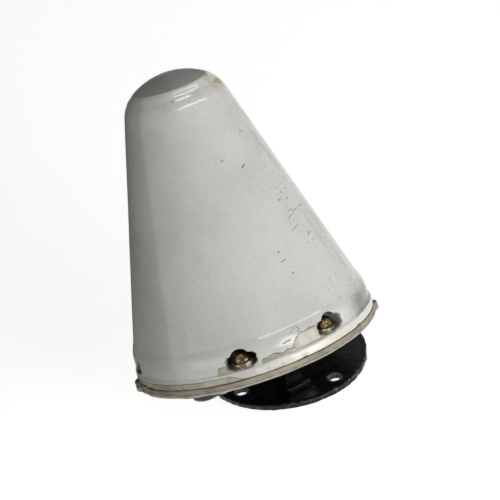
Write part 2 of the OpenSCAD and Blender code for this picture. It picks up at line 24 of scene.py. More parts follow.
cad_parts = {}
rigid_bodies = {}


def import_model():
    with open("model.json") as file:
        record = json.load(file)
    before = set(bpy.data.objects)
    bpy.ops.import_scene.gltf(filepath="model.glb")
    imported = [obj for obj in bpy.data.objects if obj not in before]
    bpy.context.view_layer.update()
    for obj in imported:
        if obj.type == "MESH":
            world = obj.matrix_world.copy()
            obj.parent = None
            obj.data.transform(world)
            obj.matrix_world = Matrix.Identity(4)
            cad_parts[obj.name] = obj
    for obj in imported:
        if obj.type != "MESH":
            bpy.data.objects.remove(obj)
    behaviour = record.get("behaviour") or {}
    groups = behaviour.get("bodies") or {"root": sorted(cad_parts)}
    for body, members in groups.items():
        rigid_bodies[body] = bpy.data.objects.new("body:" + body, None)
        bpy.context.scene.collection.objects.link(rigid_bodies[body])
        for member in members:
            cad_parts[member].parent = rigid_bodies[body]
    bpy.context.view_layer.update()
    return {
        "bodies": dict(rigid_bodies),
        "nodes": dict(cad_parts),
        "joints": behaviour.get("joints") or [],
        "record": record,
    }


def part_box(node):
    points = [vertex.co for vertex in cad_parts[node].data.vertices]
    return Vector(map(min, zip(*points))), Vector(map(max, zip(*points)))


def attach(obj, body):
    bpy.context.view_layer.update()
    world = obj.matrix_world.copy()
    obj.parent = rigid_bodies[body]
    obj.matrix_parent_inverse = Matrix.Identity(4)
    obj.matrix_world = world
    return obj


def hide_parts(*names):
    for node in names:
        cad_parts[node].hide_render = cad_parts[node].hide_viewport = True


LOG = logging.getLogger("scanner")
MM = 0.001
# Radius at which a lump of random relief has its own size
RIM_MM = 82.0
# Thickness of a pivot washer, in millimetres
WASHER_T = 1.6
Socket = bpy.types.NodeSocket
Span = tuple[tuple[float, float], tuple[float, float]]
Profile = Sequence[tuple[float, float]]
Shaper = Callable[[float, float, float], tuple[float, float]]

# Sockets of Blender's colour mix node
FACTOR, COLOUR_A, COLOUR_B, COLOUR_OUT = 0, 6, 7, 2


# ---------------------------------------------------------------- frame


@dataclass(frozen=True)
class HeadFrame:
    """The tilting head's own frame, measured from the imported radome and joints.

    Attributes:
        place: takes a point in the head frame, in metres, to the part's frame.
        height: height of the radome, in millimetres.
        rim_r: radius of the radome's rim, in millimetres.
    """

    place: Matrix
    height: float
    rim_r: float

    @classmethod
    def measured(cls, frame: dict) -> HeadFrame:
        """Finds the head frame.


        Returns:
            The frame at rest.
        """
        joints = {joint["name"]: joint for joint in frame["joints"]}
        up = Vector(joints["scan"]["axis"]).normalized()
        across = Vector(joints["tilt"]["axis"]).normalized()
        pivot = Vector(joints["scan"]["pos_m"])
        points = [vertex.co - pivot for vertex in frame["nodes"]["radome"].data.vertices]
        heights = [point.dot(up) for point in points]
        radius = max((point - up * point.dot(up)).length for point in points)
        turn = Matrix((across.cross(up), across, up)).transposed().to_4x4()
        rim = min(heights)
        return cls(Matrix.Translation(pivot + up * rim) @ turn, (max(heights) - rim) / MM, radius / MM)

    def point(self, x: float, y: float, z: float) -> Vector:
        """Part-frame point, in metres, of a head-frame point in millimetres."""
        return self.place @ (Vector((x, y, z)) * MM)

    def direction(self, x: float, y: float, z: float) -> Vector:
        """Part-frame direction of a head-frame direction."""
        return self.place.to_3x3() @ Vector((x, y, z))


# ---------------------------------------------------------------- materials


def srgb(code: str) -> tuple[float, float, float, float]:
    """Turns an sRGB hex value to a linear colour.

    Args:
        code: six hex digits after a hash sign.

    Returns:
        Linear red, green, blue and an alpha of one.
    """
    parts = [int(code[i : i + 2], 16) / 255 for i in (1, 3, 5)]
    linear = [c / 12.92 if c <= 0.04045 else ((c + 0.055) / 1.055) ** 2.4 for c in parts]
    return (*linear, 1.0)


def per(size_mm: float) -> float:
    """Texture scale at which one feature is size_mm wide, for coordinates in metres."""
    return 1.0 / (size_mm * MM)


def add(tree: bpy.types.NodeTree, kind: str, sockets: dict | None = None,
        **settings: object) -> bpy.types.Node:
    """Adds a node with its settings and links.

    Args:
        tree: node tree that takes the node.
        kind: Blender's name for the type of node, without its "ShaderNode" prefix.
        sockets: values, or fields and output sockets to link, by the input's name or number.
        settings: properties of the node.

    Returns:
        The new node.
    """
    node = tree.nodes.new("ShaderNode" + kind)
    for name, value in settings.items():
        setattr(node, name, value)
    for key, value in (sockets or {}).items():
        if isinstance(value, Field):
            value = value.socket
        if isinstance(value, Socket):
            tree.links.new(value, node.inputs[key])
        else:
            node.inputs[key].default_value = value
    return node


class Field:
    """A value that varies over a surface, and that can be reckoned with like a number."""

    def __init__(self, socket: Socket) -> None:
        """Takes the node output that gives the value."""
        self.socket = socket

    def reckoned(self, operation: str, *others: float | Socket | Field) -> Field:
        """Result of a sum on this value and others, by Blender's name for the sum."""
        sockets = dict(enumerate((self, *others)))
        return Field(add(self.socket.id_data, "Math", sockets, operation=operation).outputs[0])

    def __add__(self, other: float | Socket | Field) -> Field:
        """This value with another one added."""
        return self.reckoned("ADD", other)

    def __sub__(self, other: float | Socket | Field) -> Field:
        """This value with another one taken away."""
        return self.reckoned("SUBTRACT", other)

    def __rsub__(self, other: float) -> Field:
        """A number with this value taken away."""
        return self * -1.0 + other

    def __mul__(self, other: float | Socket | Field) -> Field:
        """This value times another. Two masks leave what lies in both."""
        return self.reckoned("MULTIPLY", other)

    def __or__(self, other: float | Socket | Field) -> Field:
        """The larger of two values. Two masks leave what lies in either."""
        return self.reckoned("MAXIMUM", other)

    def __abs__(self) -> Field:
        """This value without its sign."""
        return self.reckoned("ABSOLUTE")

    def ease(self, low: float, high: float, start: float = 0.0, end: float = 1.0) -> Field:
        """Smooth step from one value to another. It also works with low above high.

        Args:
            low: where the step begins.
            high: where it ends.
            start: result at low and beyond.
            end: result at high and beyond.

        Returns:
            The step.
        """
        if low > high:
            low, high, start, end = high, low, end, start
        return Field(add(self.socket.id_data, "MapRange", {
            "Value": self, "From Min": low, "From Max": high, "To Min": start, "To Max": end,
        }, interpolation_type="SMOOTHSTEP").outputs["Result"])

    def between(self, rise: tuple[float, float], fall: tuple[float, float]) -> Field:
        """Mask of where the value lies between two limits, with a soft rise and a soft fall."""
        return self.ease(*rise) * self.ease(fall[1], fall[0])


class Recipe:
    """Node tree of one material, with the patterns that several finishes share."""

    def __init__(self, name: str, head: HeadFrame | None = None) -> None:
        """Starts a material.

        Args:
            name: the material's name.
            head: frame whose coordinates the patterns use, or None for the part's own.
        """
        self.material = bpy.data.materials.new(name)
        self.material.use_nodes = True
        self.tree = self.material.node_tree
        self.tree.nodes.clear()
        self.place = add(self.tree, "TexCoord").outputs["Object"]
        if head is not None:
            location, rotation, _ = head.place.decompose()
            self.place = add(self.tree, "Mapping", {
                "Vector": self.place, "Location": location, "Rotation": rotation.to_euler(),
            }, vector_type="TEXTURE").outputs["Vector"]

    def cloud(self, size_mm: float, detail: float = 3.0, stretch: Sequence[float] = (1, 1, 1),
              shift: float = 0.0) -> Field:
        """Soft random pattern of a real size.

        Args:
            size_mm: size of one patch.
            detail: how many finer layers it has.
            stretch: how much longer a patch is along each axis.
            shift: moves the pattern, so that two of one size differ.

        Returns:
            A value round 0.5.
        """
        place = add(self.tree, "Mapping", {
            "Vector": self.place, "Scale": [1.0 / s for s in stretch], "Location": (shift, shift, shift),
        }).outputs["Vector"]
        return Field(add(self.tree, "TexNoise", {
            "Vector": place, "Scale": per(size_mm), "Detail": detail, "Roughness": 0.55,
        }).outputs["Fac"])

    def flecks(self, size_mm: float, share: float, shift: float = 0.0) -> Field:
        """Scattered round spots: 1 inside a spot, 0 outside.

        Args:
            size_mm: distance between possible spots.
            share: radius of the largest spots, as a share of that distance.
            shift: moves the pattern.

        Returns:
            The mask.
        """
        place = add(self.tree, "Mapping", {"Vector": self.place, "Location": (shift, shift, shift)})
        cells = add(self.tree, "TexVoronoi", {"Vector": place.outputs["Vector"], "Scale": per(size_mm)})
        lot = Field(add(self.tree, "SeparateColor", {"Color": cells.outputs["Color"]}).outputs[0])
        reach = lot.ease(0.55, 1.0) * share
        return (reach - cells.outputs["Distance"]).ease(0.0, 0.06)

    def tint(self, factor: float | Field, under: Socket | str, over: Socket | str) -> Socket:
        """Lays one colour over another.

        Args:
            factor: how much of the upper colour shows.
            under: lower colour, as a socket or hex value.
            over: upper colour, as a socket or hex value.

        Returns:
            The mixed colour.
        """
        first, second = (srgb(c) if isinstance(c, str) else c for c in (under, over))
        sockets = {FACTOR: factor, COLOUR_A: first, COLOUR_B: second}
        return add(self.tree, "Mix", sockets, data_type="RGBA").outputs[COLOUR_OUT]

    def relief(self, height: Field, depth_mm: float, below: Socket | None = None) -> Socket:
        """Normal of a surface that the height pattern raises by depth_mm.

        Args:
            height: pattern from 0 to 1.
            depth_mm: height of the relief.
            below: normal of a relief that lies under this one.

        Returns:
            The normal.
        """
        sockets = {"Height": height, "Distance": depth_mm * MM, "Strength": 1.0}
        if below is not None:
            sockets["Normal"] = below
        return add(self.tree, "Bump", sockets).outputs["Normal"]

    def close(self, colour: Socket, roughness: Field, normal: Socket, **fixed: float) -> bpy.types.Material:
        """Ends the material in one shader.

        Args:
            colour: base colour.
            roughness: roughness pattern.
            normal: surface normal.
            fixed: the shader's other inputs, with underscores for spaces.

        Returns:
            The material.
        """
        sockets: dict = {"Base Color": colour, "Roughness": roughness, "Normal": normal}
        sockets.update({name.replace("_", " "): value for name, value in fixed.items()})
        shader = add(self.tree, "BsdfPrincipled", sockets)
        add(self.tree, "OutputMaterial", {"Surface": shader.outputs["BSDF"]})
        return self.material


@dataclass(frozen=True)
class ConePlace:
    """Where a point of the cone lies in the head frame.

    Attributes:
        azimuth: angle round the axis, in degrees.
        height: height over the rim, in millimetres.
        radius: distance from the axis, in millimetres.
    """

    azimuth: Field
    height: Field
    radius: Field

    @classmethod
    def found(cls, mix: Recipe) -> ConePlace:
        """Works the place out from a material's coordinates.

        Args:
            mix: the material, which uses the head frame.

        Returns:
            The place.
        """
        xyz = add(mix.tree, "SeparateXYZ", {"Vector": mix.place}).outputs
        turn = add(mix.tree, "Math", {0: xyz["Y"], 1: xyz["X"]}, operation="ARCTAN2")
        flat = add(mix.tree, "CombineXYZ", {"X": xyz["X"], "Y": xyz["Y"]})
        length = add(mix.tree, "VectorMath", {0: flat.outputs[0]}, operation="LENGTH")
        return cls(Field(turn.outputs[0]).reckoned("DEGREES"), Field(xyz["Z"]) * (1 / MM),
                   Field(length.outputs["Value"]) * (1 / MM))


@dataclass(frozen=True)
class Scratch:
    """A dark score in the gelcoat, from one point of the cone to another.

    Attributes:
        start: azimuth in degrees and height in millimetres of one end.
        end: the same of the other end.
        width: width of the score, in millimetres.
    """

    start: tuple[float, float]
    end: tuple[float, float]
    width: float = 0.5

    def points(self, outline: Callable[[float], float]) -> list[Vector]:
        """Both ends in the head frame, in metres.

        Args:
            outline: the cone's outer radius at a height, in millimetres.

        Returns:
            The start and the end.
        """
        points = []
        for azimuth, height in (self.start, self.end):
            angle = math.radians(azimuth)
            radius = outline(height)
            points.append(Vector((radius * math.cos(angle), radius * math.sin(angle), height)) * MM)
        return points


@dataclass(frozen=True)
class Exposure:
    """A field above the lip where the gelcoat has come away and the cream primer shows.

    Attributes:
        rise: azimuths, in degrees, between which its edge climbs from the lip.
        fall: azimuths between which it drops back.
        top: height of its edge, in millimetres.
    """

    rise: tuple[float, float]
    fall: tuple[float, float]
    top: float


@dataclass(frozen=True)
class AgedGelcoat:
    """White gelcoat over glass fibre, laid in a mould and left for years in the sun.

    It is glossy but uneven: the sheen wavers over the hand-laid laminate, the white has gone grey in soft
    patches, and dirt sits in pores and scratches. Dirt and painted shade darken the recesses, and a patch of
    painted shade lies low on the sunny side.

    Attributes:
        sunny: azimuths, in degrees, where the run-off streaks begin and where they end.
        spotted: the same for the rusty spots.
        crown_chips: the same for the ochre chips at the crown's edge.
        crown_chips_r: radii, in millimetres, between which those chips lie.
        painted_shade_span: azimuths of a patch of painted shade low on the cone, darker than its lighting
            makes it.
        painted_shade_heights: heights, in millimetres, over which that painted shade comes in.
        smear_h: height to which sealant is smeared over the lip.
        lip_r: radius from which the surface is the lip's.
        recess_top: heights over which the dirt and painted shade of the recesses come in.
        disc_r: radius of the crown's flat disc.
        disc_fall: width of the soft edge round it.
        disc_flat: how far the crown is sunk to make it flat.
    """

    white: str = "#DCDCD7"
    greyed: str = "#D2D2CC"
    dust: str = "#A9A69A"
    rust: str = "#9C9176"
    ochre: str = "#C9BC92"
    shade: str = "#5F5F59"
    score: str = "#2E2B26"
    primer: str = "#A19C86"
    primer_worn: str = "#B3AF9C"
    lip: str = "#E6E3D8"
    lip_paint: str = "#C9C9C5"
    # Dirt in the pores, and dirt with painted shade in the screws' recesses
    grime_and_shade: str = "#6F6A5C"
    smear: str = "#98947C"
    smear_pale: str = "#BCB8A5"
    sunny: Span = ((22.0, 62.0), (84.0, 118.0))
    spotted: Span = ((10.0, 36.0), (100.0, 130.0))
    crown_chips: Span = ((26.0, 36.0), (70.0, 84.0))
    crown_chips_r: Span = ((25.0, 26.5), (31.0, 35.0))
    painted_shade_span: Span = ((27.0, 42.0), (60.0, 84.0))
    painted_shade_heights: tuple[float, float] = (22.0, 13.0)
    smear_h: float = 4.3
    lip_r: float = 81.0
    recess_top: tuple[float, float] = (23.0, 21.5)
    disc_r: float = 25.3
    disc_fall: float = 6.0
    disc_flat: float = 3.3
    scratches: tuple[Scratch, ...] = (
        Scratch((26.7, 81.3), (35.7, 83.4), 0.6),
        Scratch((35.7, 83.4), (47.5, 82.8), 0.75),
        Scratch((28.1, 85.0), (33.7, 85.1), 0.45),
        Scratch((22.6, 73.7), (29.3, 74.5), 0.4),
        Scratch((-2.0, 132.0), (0.9, 132.2), 0.75),
        Scratch((12.6, 122.9), (15.0, 124.2), 0.9),
        Scratch((33.5, 97.3), (34.1, 97.6), 1.0),
        Scratch((26.6, 94.0), (29.4, 94.5), 0.6),
        Scratch((35.1, 91.9), (37.6, 92.5), 0.6),
        Scratch((33.3, 65.8), (37.9, 66.5), 0.4),
        Scratch((7.1, 66.1), (7.7, 66.3), 0.8),
        Scratch((6.4, 60.0), (9.2, 60.3), 0.6),
        Scratch((9.4, 50.7), (10.0, 50.9), 0.9),
        Scratch((-10.5, 13.8), (-6.8, 14.5), 0.6),
        Scratch((-5.4, 18.5), (-5.0, 18.7), 0.5),
        Scratch((-3.6, 20.2), (-3.0, 20.4), 0.5),
        Scratch((-1.6, 19.8), (-1.2, 20.0), 0.7),
        Scratch((-1.2, 18.1), (-0.8, 18.5), 0.6),
        Scratch((-2.0, 17.2), (-1.5, 17.5), 0.5),
        Scratch((-25.8, 176.6), (-24.6, 176.9), 0.9),
    )
    exposures: tuple[Exposure, ...] = (
        Exposure((-23.6, -22.0), (-6.0, -3.0), 8.8),
        Exposure((-14.0, -1.0), (13.0, 19.0), 16.3),
        Exposure((-46.5, -42.0), (-27.5, -25.0), 10.5),
        Exposure((150.0, 158.0), (176.0, 180.0), 12.0),
    )

    def weathered(self, mix: Recipe, at: ConePlace) -> Socket:
        """Soft grey patches, run-off streaks on the side that faces the sun, pores full of dirt, and a patch
        of painted shade low on the cone's sunny end.

        Args:
            mix: the material.
            at: place on the cone.

        Returns:
            Colour of the whole coat.
        """
        colour = mix.tint(mix.cloud(45).ease(0.35, 0.7), self.white, self.greyed)
        colour = mix.tint(mix.cloud(7, 5).ease(0.5, 0.8) * 0.16, colour, self.dust)
        colour = mix.tint(mix.cloud(1.7, 2).ease(0.4, 0.65) * 0.1, colour, self.dust)
        streaks = at.azimuth.between(*self.sunny) * mix.cloud(7, 4, (1, 1, 9)).ease(0.46, 0.68)
        colour = mix.tint(streaks * 0.5, colour, self.rust)
        spots = mix.flecks(2.2, 0.42, 1.0) * mix.cloud(14, 3).ease(0.4, 0.55)
        colour = mix.tint(spots * at.azimuth.between(*self.spotted) * 0.7, colour, self.rust)
        colour = mix.tint(mix.flecks(4.6, 0.15) * 0.3, colour, self.grime_and_shade)
        chips = at.azimuth.between(*self.crown_chips) * at.radius.between(*self.crown_chips_r)
        colour = mix.tint(chips * mix.cloud(3, 5).ease(0.44, 0.52), colour, self.ochre)
        # A patch of painted shade low on the cone's sunny end: it darkens the coat where its lighting leaves
        # it bright
        stain = at.azimuth.between(*self.painted_shade_span) * at.height.ease(*self.painted_shade_heights)
        return mix.tint(stain * 0.8, colour, self.shade)

    def flaked(self, at: ConePlace, ragged: Field) -> tuple[Field, Field]:
        """Fields above the lip where the coat is gone, each edged by a hairline crack.

        Args:
            at: place on the cone.
            ragged: what makes their edges ragged, in millimetres.

        Returns:
            Masks of the bare fields and of the cracks.
        """
        bare: float | Field = 0.0
        cracks: float | Field = 0.0
        for patch in self.exposures:
            top = at.azimuth.between(patch.rise, patch.fall) * patch.top
            under = top + ragged - at.height
            bare = under.ease(-0.2, 0.1) * at.height.ease(5.6, 6.2) | bare
            cracks = abs(under).ease(0.45, 0.1) * at.height.ease(6.4, 7.2) * top.ease(1.0, 3.0) | cracks
        return bare, cracks

    def lip_coat(self, mix: Recipe, at: ConePlace, colour: Socket) -> Socket:
        """The cream lip, with what is left of a grey top coat.

        Args:
            mix: the material.
            at: place on the cone.
            colour: colour of what lies above the lip.

        Returns:
            The colour with the lip's.
        """
        flaked = at.height + (mix.cloud(6, 5) - 0.5) * 4.0
        on_lip = flaked.ease(5.4, 4.9) * at.radius.ease(self.lip_r - 1.2, self.lip_r)
        border = at.azimuth + (mix.cloud(9, 5) - 0.5) * 90.0
        return mix.tint(on_lip, colour, mix.tint(border.ease(-18, -23) * 0.8, self.lip, self.lip_paint))

    def smeared(self, mix: Recipe, at: ConePlace, ragged: Field, colour: Socket) -> tuple[Socket, Field]:
        """Sealant smeared up over the lip, and split along its upper edge.

        Args:
            mix: the material.
            at: place on the cone.
            ragged: what makes its edge ragged, in millimetres.
            colour: colour of what it lies on.

        Returns:
            The colour with the sealant's, and a mask of the split.
        """
        under = at.azimuth.ease(-30, -40, 0.0, self.smear_h) + ragged * 0.3 - at.height
        on_lip = at.radius.ease(self.lip_r - 0.6, self.lip_r) * at.azimuth.ease(-28, -32)
        smear = under.ease(-0.15, 0.15) * on_lip
        mottled = mix.tint(mix.cloud(9, 5, shift=2.0).ease(0.35, 0.65), self.smear, self.smear_pale)
        return mix.tint(smear * 0.9, colour, mottled), smear * under.ease(0.5, 0.15)

    def recess_dirt_and_shade(self, at: ConePlace, shoulder: tuple[float, float, float]) -> Field:
        """Mask of what lies in the screws' recesses, by its depth under the shoulder's arc. Dirt
        and painted shade are laid there.

        Args:
            at: place on the cone.
            shoulder: centre (radius and height) and radius of that arc.

        Returns:
            The mask.
        """
        over = (at.height - shoulder[1]) | 0.0
        span = (shoulder[2] ** 2 - over * over).reckoned("SQRT")
        depth = span + shoulder[0] - at.radius
        return depth.ease(0.7, 2.2) * at.height.ease(*self.recess_top)

    def scored(self, mix: Recipe, outline: Callable[[float], float]) -> Field:
        """The scratches: each wavers from one point of the cone to another and is broken here and there.

        Args:
            mix: the material.
            outline: the cone's outer radius at a height, in millimetres.

        Returns:
            The mask.
        """
        tree = mix.tree
        drift = add(tree, "TexNoise", {"Vector": mix.place, "Scale": per(2.2), "Detail": 2.0})
        drift = add(tree, "VectorMath", {0: drift.outputs["Color"], 1: (0.5, 0.5, 0.5)}, operation="SUBTRACT")
        drift = add(tree, "VectorMath", {0: drift.outputs[0], "Scale": 1.1 * MM}, operation="SCALE")
        near = add(tree, "VectorMath", {0: mix.place, 1: drift.outputs[0]}).outputs[0]
        scores: float | Field = 0.0
        for scratch in self.scratches:
            first, last = scratch.points(outline)
            run = last - first
            unit = run / run.length_squared
            away = add(tree, "VectorMath", {0: near, 1: first}, operation="SUBTRACT").outputs[0]
            share = add(tree, "VectorMath", {0: away, 1: unit}, operation="DOT_PRODUCT").outputs["Value"]
            share = add(tree, "Clamp", {"Value": share}).outputs[0]
            foot = add(tree, "VectorMath", {0: run, "Scale": share}, operation="SCALE").outputs[0]
            gap = add(tree, "VectorMath", {0: away, 1: foot}, operation="DISTANCE").outputs["Value"]
            width = scratch.width * MM
            scores = Field(gap).ease(0.8 * width, 0.2 * width) | scores
        return scores * mix.cloud(1.6, 2).ease(0.34, 0.5, 0.35, 1.0)

    def build(self, head: HeadFrame, outline: Callable[[float], float],
              shoulder: tuple[float, float, float]) -> bpy.types.Material:
        """Makes the material.

        Args:
            head: the head frame.
            outline: the cone's outer radius at a height, in millimetres.
            shoulder: centre (radius and height) and radius of the shoulder's arc.

        Returns:
            The material.
        """
        mix = Recipe("aged_white_gelcoat", head)
        at = ConePlace.found(mix)
        ragged = (mix.cloud(7, 5) - 0.5) * 5.0
        bare, cracks = self.flaked(at, ragged)
        primer = mix.tint(mix.cloud(5, 4).ease(0.3, 0.7), self.primer, self.primer_worn)
        colour = mix.tint(bare, self.weathered(mix, at), primer)
        colour = self.lip_coat(mix, at, colour)
        colour, split = self.smeared(mix, at, ragged, colour)
        recess_dirt_and_shade = self.recess_dirt_and_shade(at, shoulder)
        # Dirt and painted shade darken the inside of the screws' recesses
        colour = mix.tint(recess_dirt_and_shade * 0.6, colour, self.grime_and_shade)
        marks = self.scored(mix, outline) * 0.95 | (cracks | split) * 0.75
        colour = mix.tint(marks, colour, self.score)

        # The laminate's slow waves, the orange peel of the coat, the crown's disc, and what is missing
        normal = mix.relief(mix.cloud(30, 1), 0.22)
        normal = mix.relief(mix.cloud(2.2, 2), 0.025, normal)
        rising = (at.radius * (1 / self.disc_r)).reckoned("POWER", 2.0)
        falling = at.radius.ease(self.disc_r + self.disc_fall, self.disc_r - 0.5)
        normal = mix.relief(rising.reckoned("MINIMUM", falling), self.disc_flat, normal)
        normal = mix.relief((marks | bare * 0.35) * -1.0, 0.3, normal)
        rough = mix.cloud(16, 5).ease(0.3, 0.75, 0.11, 0.2) + (recess_dirt_and_shade | marks) * 0.3
        return mix.close(colour, rough, normal, IOR=1.5)


@dataclass(frozen=True)
class HoleRing:
    """The deck flange's bolt holes, evenly spaced on a circle.

    Attributes:
        ring: radius of the circle, in millimetres.
        hole_r: radius of a hole, in millimetres.
        turn: azimuth of the first hole, in degrees.
        count: how many there are.
    """

    ring: float = 45.0
    hole_r: float = 4.5
    turn: float = 16.0
    count: int = 4

    def azimuths(self) -> list[float]:
        """Azimuth of each hole, in radians."""
        return [math.radians(self.turn + i * 360 / self.count) for i in range(self.count)]


@dataclass(frozen=True)
class ChippedEnamel:
    """Black enamel brushed thick over cast aluminium.

    It is glossy where it is whole, lumpy where it has gathered, and chipped to bare grey metal round the
    bolt holes and here and there along the edge.

    Attributes:
        holes: the bolt holes that have been worn bare.
        edge_r: radius of the flange, in millimetres.
        top: height of the flange's upper face. What stands above it isn't worn.
    """

    black: str = "#08090A"
    faded: str = "#0E0F11"
    metal: str = "#77787A"
    metal_dull: str = "#3F4042"
    holes: HoleRing = HoleRing()
    edge_r: float = 56.0
    top: float = 4.0

    def build(self) -> bpy.types.Material:
        """Makes the material.

        Returns:
            The material.
        """
        mix = Recipe("brushed_black_enamel")
        xyz = add(mix.tree, "SeparateXYZ", {"Vector": mix.place}).outputs
        flat = add(mix.tree, "CombineXYZ", {"X": xyz["X"], "Y": xyz["Y"]}).outputs[0]
        radius = Field(add(mix.tree, "VectorMath", {0: flat}, operation="LENGTH").outputs["Value"])
        low = Field(xyz["Z"]).ease((self.top + 1.5) * MM, (self.top + 0.5) * MM)
        mouth = self.holes.hole_r
        worn: float | Field = 0.0
        for azimuth in self.holes.azimuths():
            centre = Vector((math.cos(azimuth), math.sin(azimuth), 0)) * self.holes.ring * MM
            gap = add(mix.tree, "VectorMath", {0: flat, 1: centre}, operation="DISTANCE").outputs["Value"]
            reach = Field(gap) + (mix.cloud(2.5, 3) - 0.5) * (3.2 * MM)
            worn = reach.ease((mouth + 1.3) * MM, (mouth + 0.6) * MM) | worn
        edge = radius.ease((self.edge_r - 2.2) * MM, (self.edge_r - 0.6) * MM)
        rubbed = edge * mix.cloud(3.2, 4, shift=1.0).ease(0.58, 0.66)
        chips = mix.flecks(9.0, 0.16, 2.0) * mix.cloud(3, 4).ease(0.45, 0.6)
        bare = (rubbed | worn) * low | chips
        colour = mix.tint(mix.cloud(18, 4).ease(0.4, 0.7), self.black, self.faded)
        dull = mix.tint(mix.cloud(1.6, 3).ease(0.35, 0.65), self.metal, self.metal_dull)
        colour = mix.tint(bare * 0.8, colour, dull)
        normal = mix.relief(mix.cloud(9, 3), 0.55)
        normal = mix.relief(mix.cloud(1.4, 3), 0.06, normal)
        normal = mix.relief(bare * -1.0, 0.2, normal)
        rough = mix.cloud(12, 4).ease(0.3, 0.7, 0.1, 0.26) + bare * 0.3
        return mix.close(colour, rough, normal, IOR=1.36)


@dataclass(frozen=True)
class CuredSealant:
    """Polyurethane sealant, gunned on in two passes and wetted down with a finger.

    It is matt, the upper pass has gone brown-grey and the lower one stays paler, and dirt lies in the
    furrow between them.

    Attributes:
        furrow: height of the furrow between the passes, in millimetres.
    """

    upper: str = "#8C8271"
    upper_stained: str = "#A5A089"
    lower: str = "#C0BCB1"
    lower_stained: str = "#8E8776"
    dirt: str = "#4A443A"
    furrow: float = -3.6

    def build(self, head: HeadFrame) -> bpy.types.Material:
        """Makes the material.

        Args:
            head: the head frame.

        Returns:
            The material.
        """
        mix = Recipe("cured_grey_sealant", head)
        xyz = add(mix.tree, "SeparateXYZ", {"Vector": mix.place}).outputs
        height = Field(xyz["Z"]) * (1 / MM) + (mix.cloud(12, 4) - 0.5) * 1.6
        upper = mix.tint(mix.cloud(28, 3).ease(0.42, 0.62), self.upper, self.upper_stained)
        lower = mix.tint(mix.cloud(17, 4, shift=5.0).ease(0.5, 0.72), self.lower, self.lower_stained)
        colour = mix.tint(height.ease(self.furrow - 0.5, self.furrow + 0.4), lower, upper)
        furrow = abs(height - self.furrow).ease(0.55, 0.1) * mix.cloud(8, 3).ease(0.4, 0.6)
        seam = height.ease(-0.75, -0.15)
        dirty = furrow | seam | mix.flecks(4.0, 0.22) * 0.6
        colour = mix.tint(dirty * 0.75, colour, self.dirt)
        normal = mix.relief(mix.cloud(5, 4, (1.6, 1.6, 0.7)), 0.7)
        normal = mix.relief(mix.cloud(0.9, 2), 0.05, normal)
        return mix.close(colour, mix.cloud(6, 4).ease(0.3, 0.7, 0.42, 0.7), normal, IOR=1.45)


class Tooling(Enum):
    """How a metal surface was made: stretch of its marks along X, Y and Z, and their depth in millimetres."""

    TURNED = ((0.5, 0.5, 9.0), 0.012)
    MILLED = ((7.0, 0.6, 0.6), 0.012)
    DRAWN = ((0.6, 8.0, 0.6), 0.008)
    CAST = ((1.0, 1.0, 1.0), 0.09)
    PLATED = ((1.0, 1.0, 1.0), 0.006)


@dataclass(frozen=True)
class Metal:
    """A bare or plated metal, with its tool marks, its tarnish and the dirt of years.

    Attributes:
        name: the material's name.
        colour: hex value of the clean metal.
        tarnish: hex value of the metal where it has dulled.
        tooling: how the surface was made.
        gloss: roughness of the clean metal.
        dulled: share of the surface that has dulled, from 0 to 1.
        mark_mm: spacing of the tool marks. The real ones are finer, and would not show.
    """

    name: str
    colour: str
    tarnish: str
    tooling: Tooling
    gloss: float = 0.28
    dulled: float = 0.4
    mark_mm: float = 0.5

    def build(self) -> bpy.types.Material:
        """Makes the material.

        Returns:
            The material.
        """
        mix = Recipe(self.name)
        stretch, depth = self.tooling.value
        marks = mix.cloud(self.mark_mm, 2, stretch)
        middle = 0.62 - 0.24 * self.dulled
        aged = mix.cloud(4.5, 5).ease(middle - 0.08, middle + 0.1)
        colour = mix.tint(marks.ease(0.3, 0.7, 0.0, 0.25), self.colour, self.tarnish)
        colour = mix.tint(aged, colour, self.tarnish)
        rough = marks.ease(0.3, 0.7, self.gloss - 0.05, self.gloss + 0.06) + aged * 0.18
        return mix.close(colour, rough, mix.relief(marks, depth), Metallic=1.0)


@dataclass(frozen=True)
class Moulding:
    """A moulded plastic or rubber with a fine skin texture, handling shine and settled dust.

    Attributes:
        name: the material's name.
        colour: hex value of the material.
        dust: hex value of what has settled on it.
        roughness: roughness of the skin.
        grain_mm: spacing of the skin's texture. The real one is finer, and would not show.
        depth_mm: depth of that texture.
    """

    name: str
    colour: str
    dust: str
    roughness: float = 0.45
    grain_mm: float = 0.7
    depth_mm: float = 0.03

    def build(self) -> bpy.types.Material:
        """Makes the material.

        Returns:
            The material.
        """
        mix = Recipe(self.name)
        colour = mix.tint(mix.cloud(6, 5).ease(0.45, 0.75) * 0.35, self.colour, self.dust)
        rough = mix.cloud(5, 4).ease(0.3, 0.7, self.roughness - 0.08, self.roughness + 0.1)
        return mix.close(colour, rough, mix.relief(mix.cloud(self.grain_mm, 3), self.depth_mm), IOR=1.48)


@dataclass(frozen=True)
class PrimedCasting:
    """Die-cast aluminium tray under grey-beige primer: a dull sand-like skin with stains and bare rubs."""

    primer: str = "#8F897D"
    stain: str = "#6E6759"
    metal: str = "#A3A29D"

    def build(self) -> bpy.types.Material:
        """Makes the material.

        Returns:
            The material.
        """
        mix = Recipe("primed_cast_aluminium")
        colour = mix.tint(mix.cloud(20, 4).ease(0.45, 0.7), self.primer, self.stain)
        colour = mix.tint(mix.flecks(7, 0.2) * mix.cloud(2, 4).ease(0.45, 0.6), colour, self.metal)
        normal = mix.relief(mix.cloud(1.1, 3), 0.08)
        return mix.close(colour, mix.cloud(9, 4).ease(0.3, 0.7, 0.48, 0.68), normal, IOR=1.5)


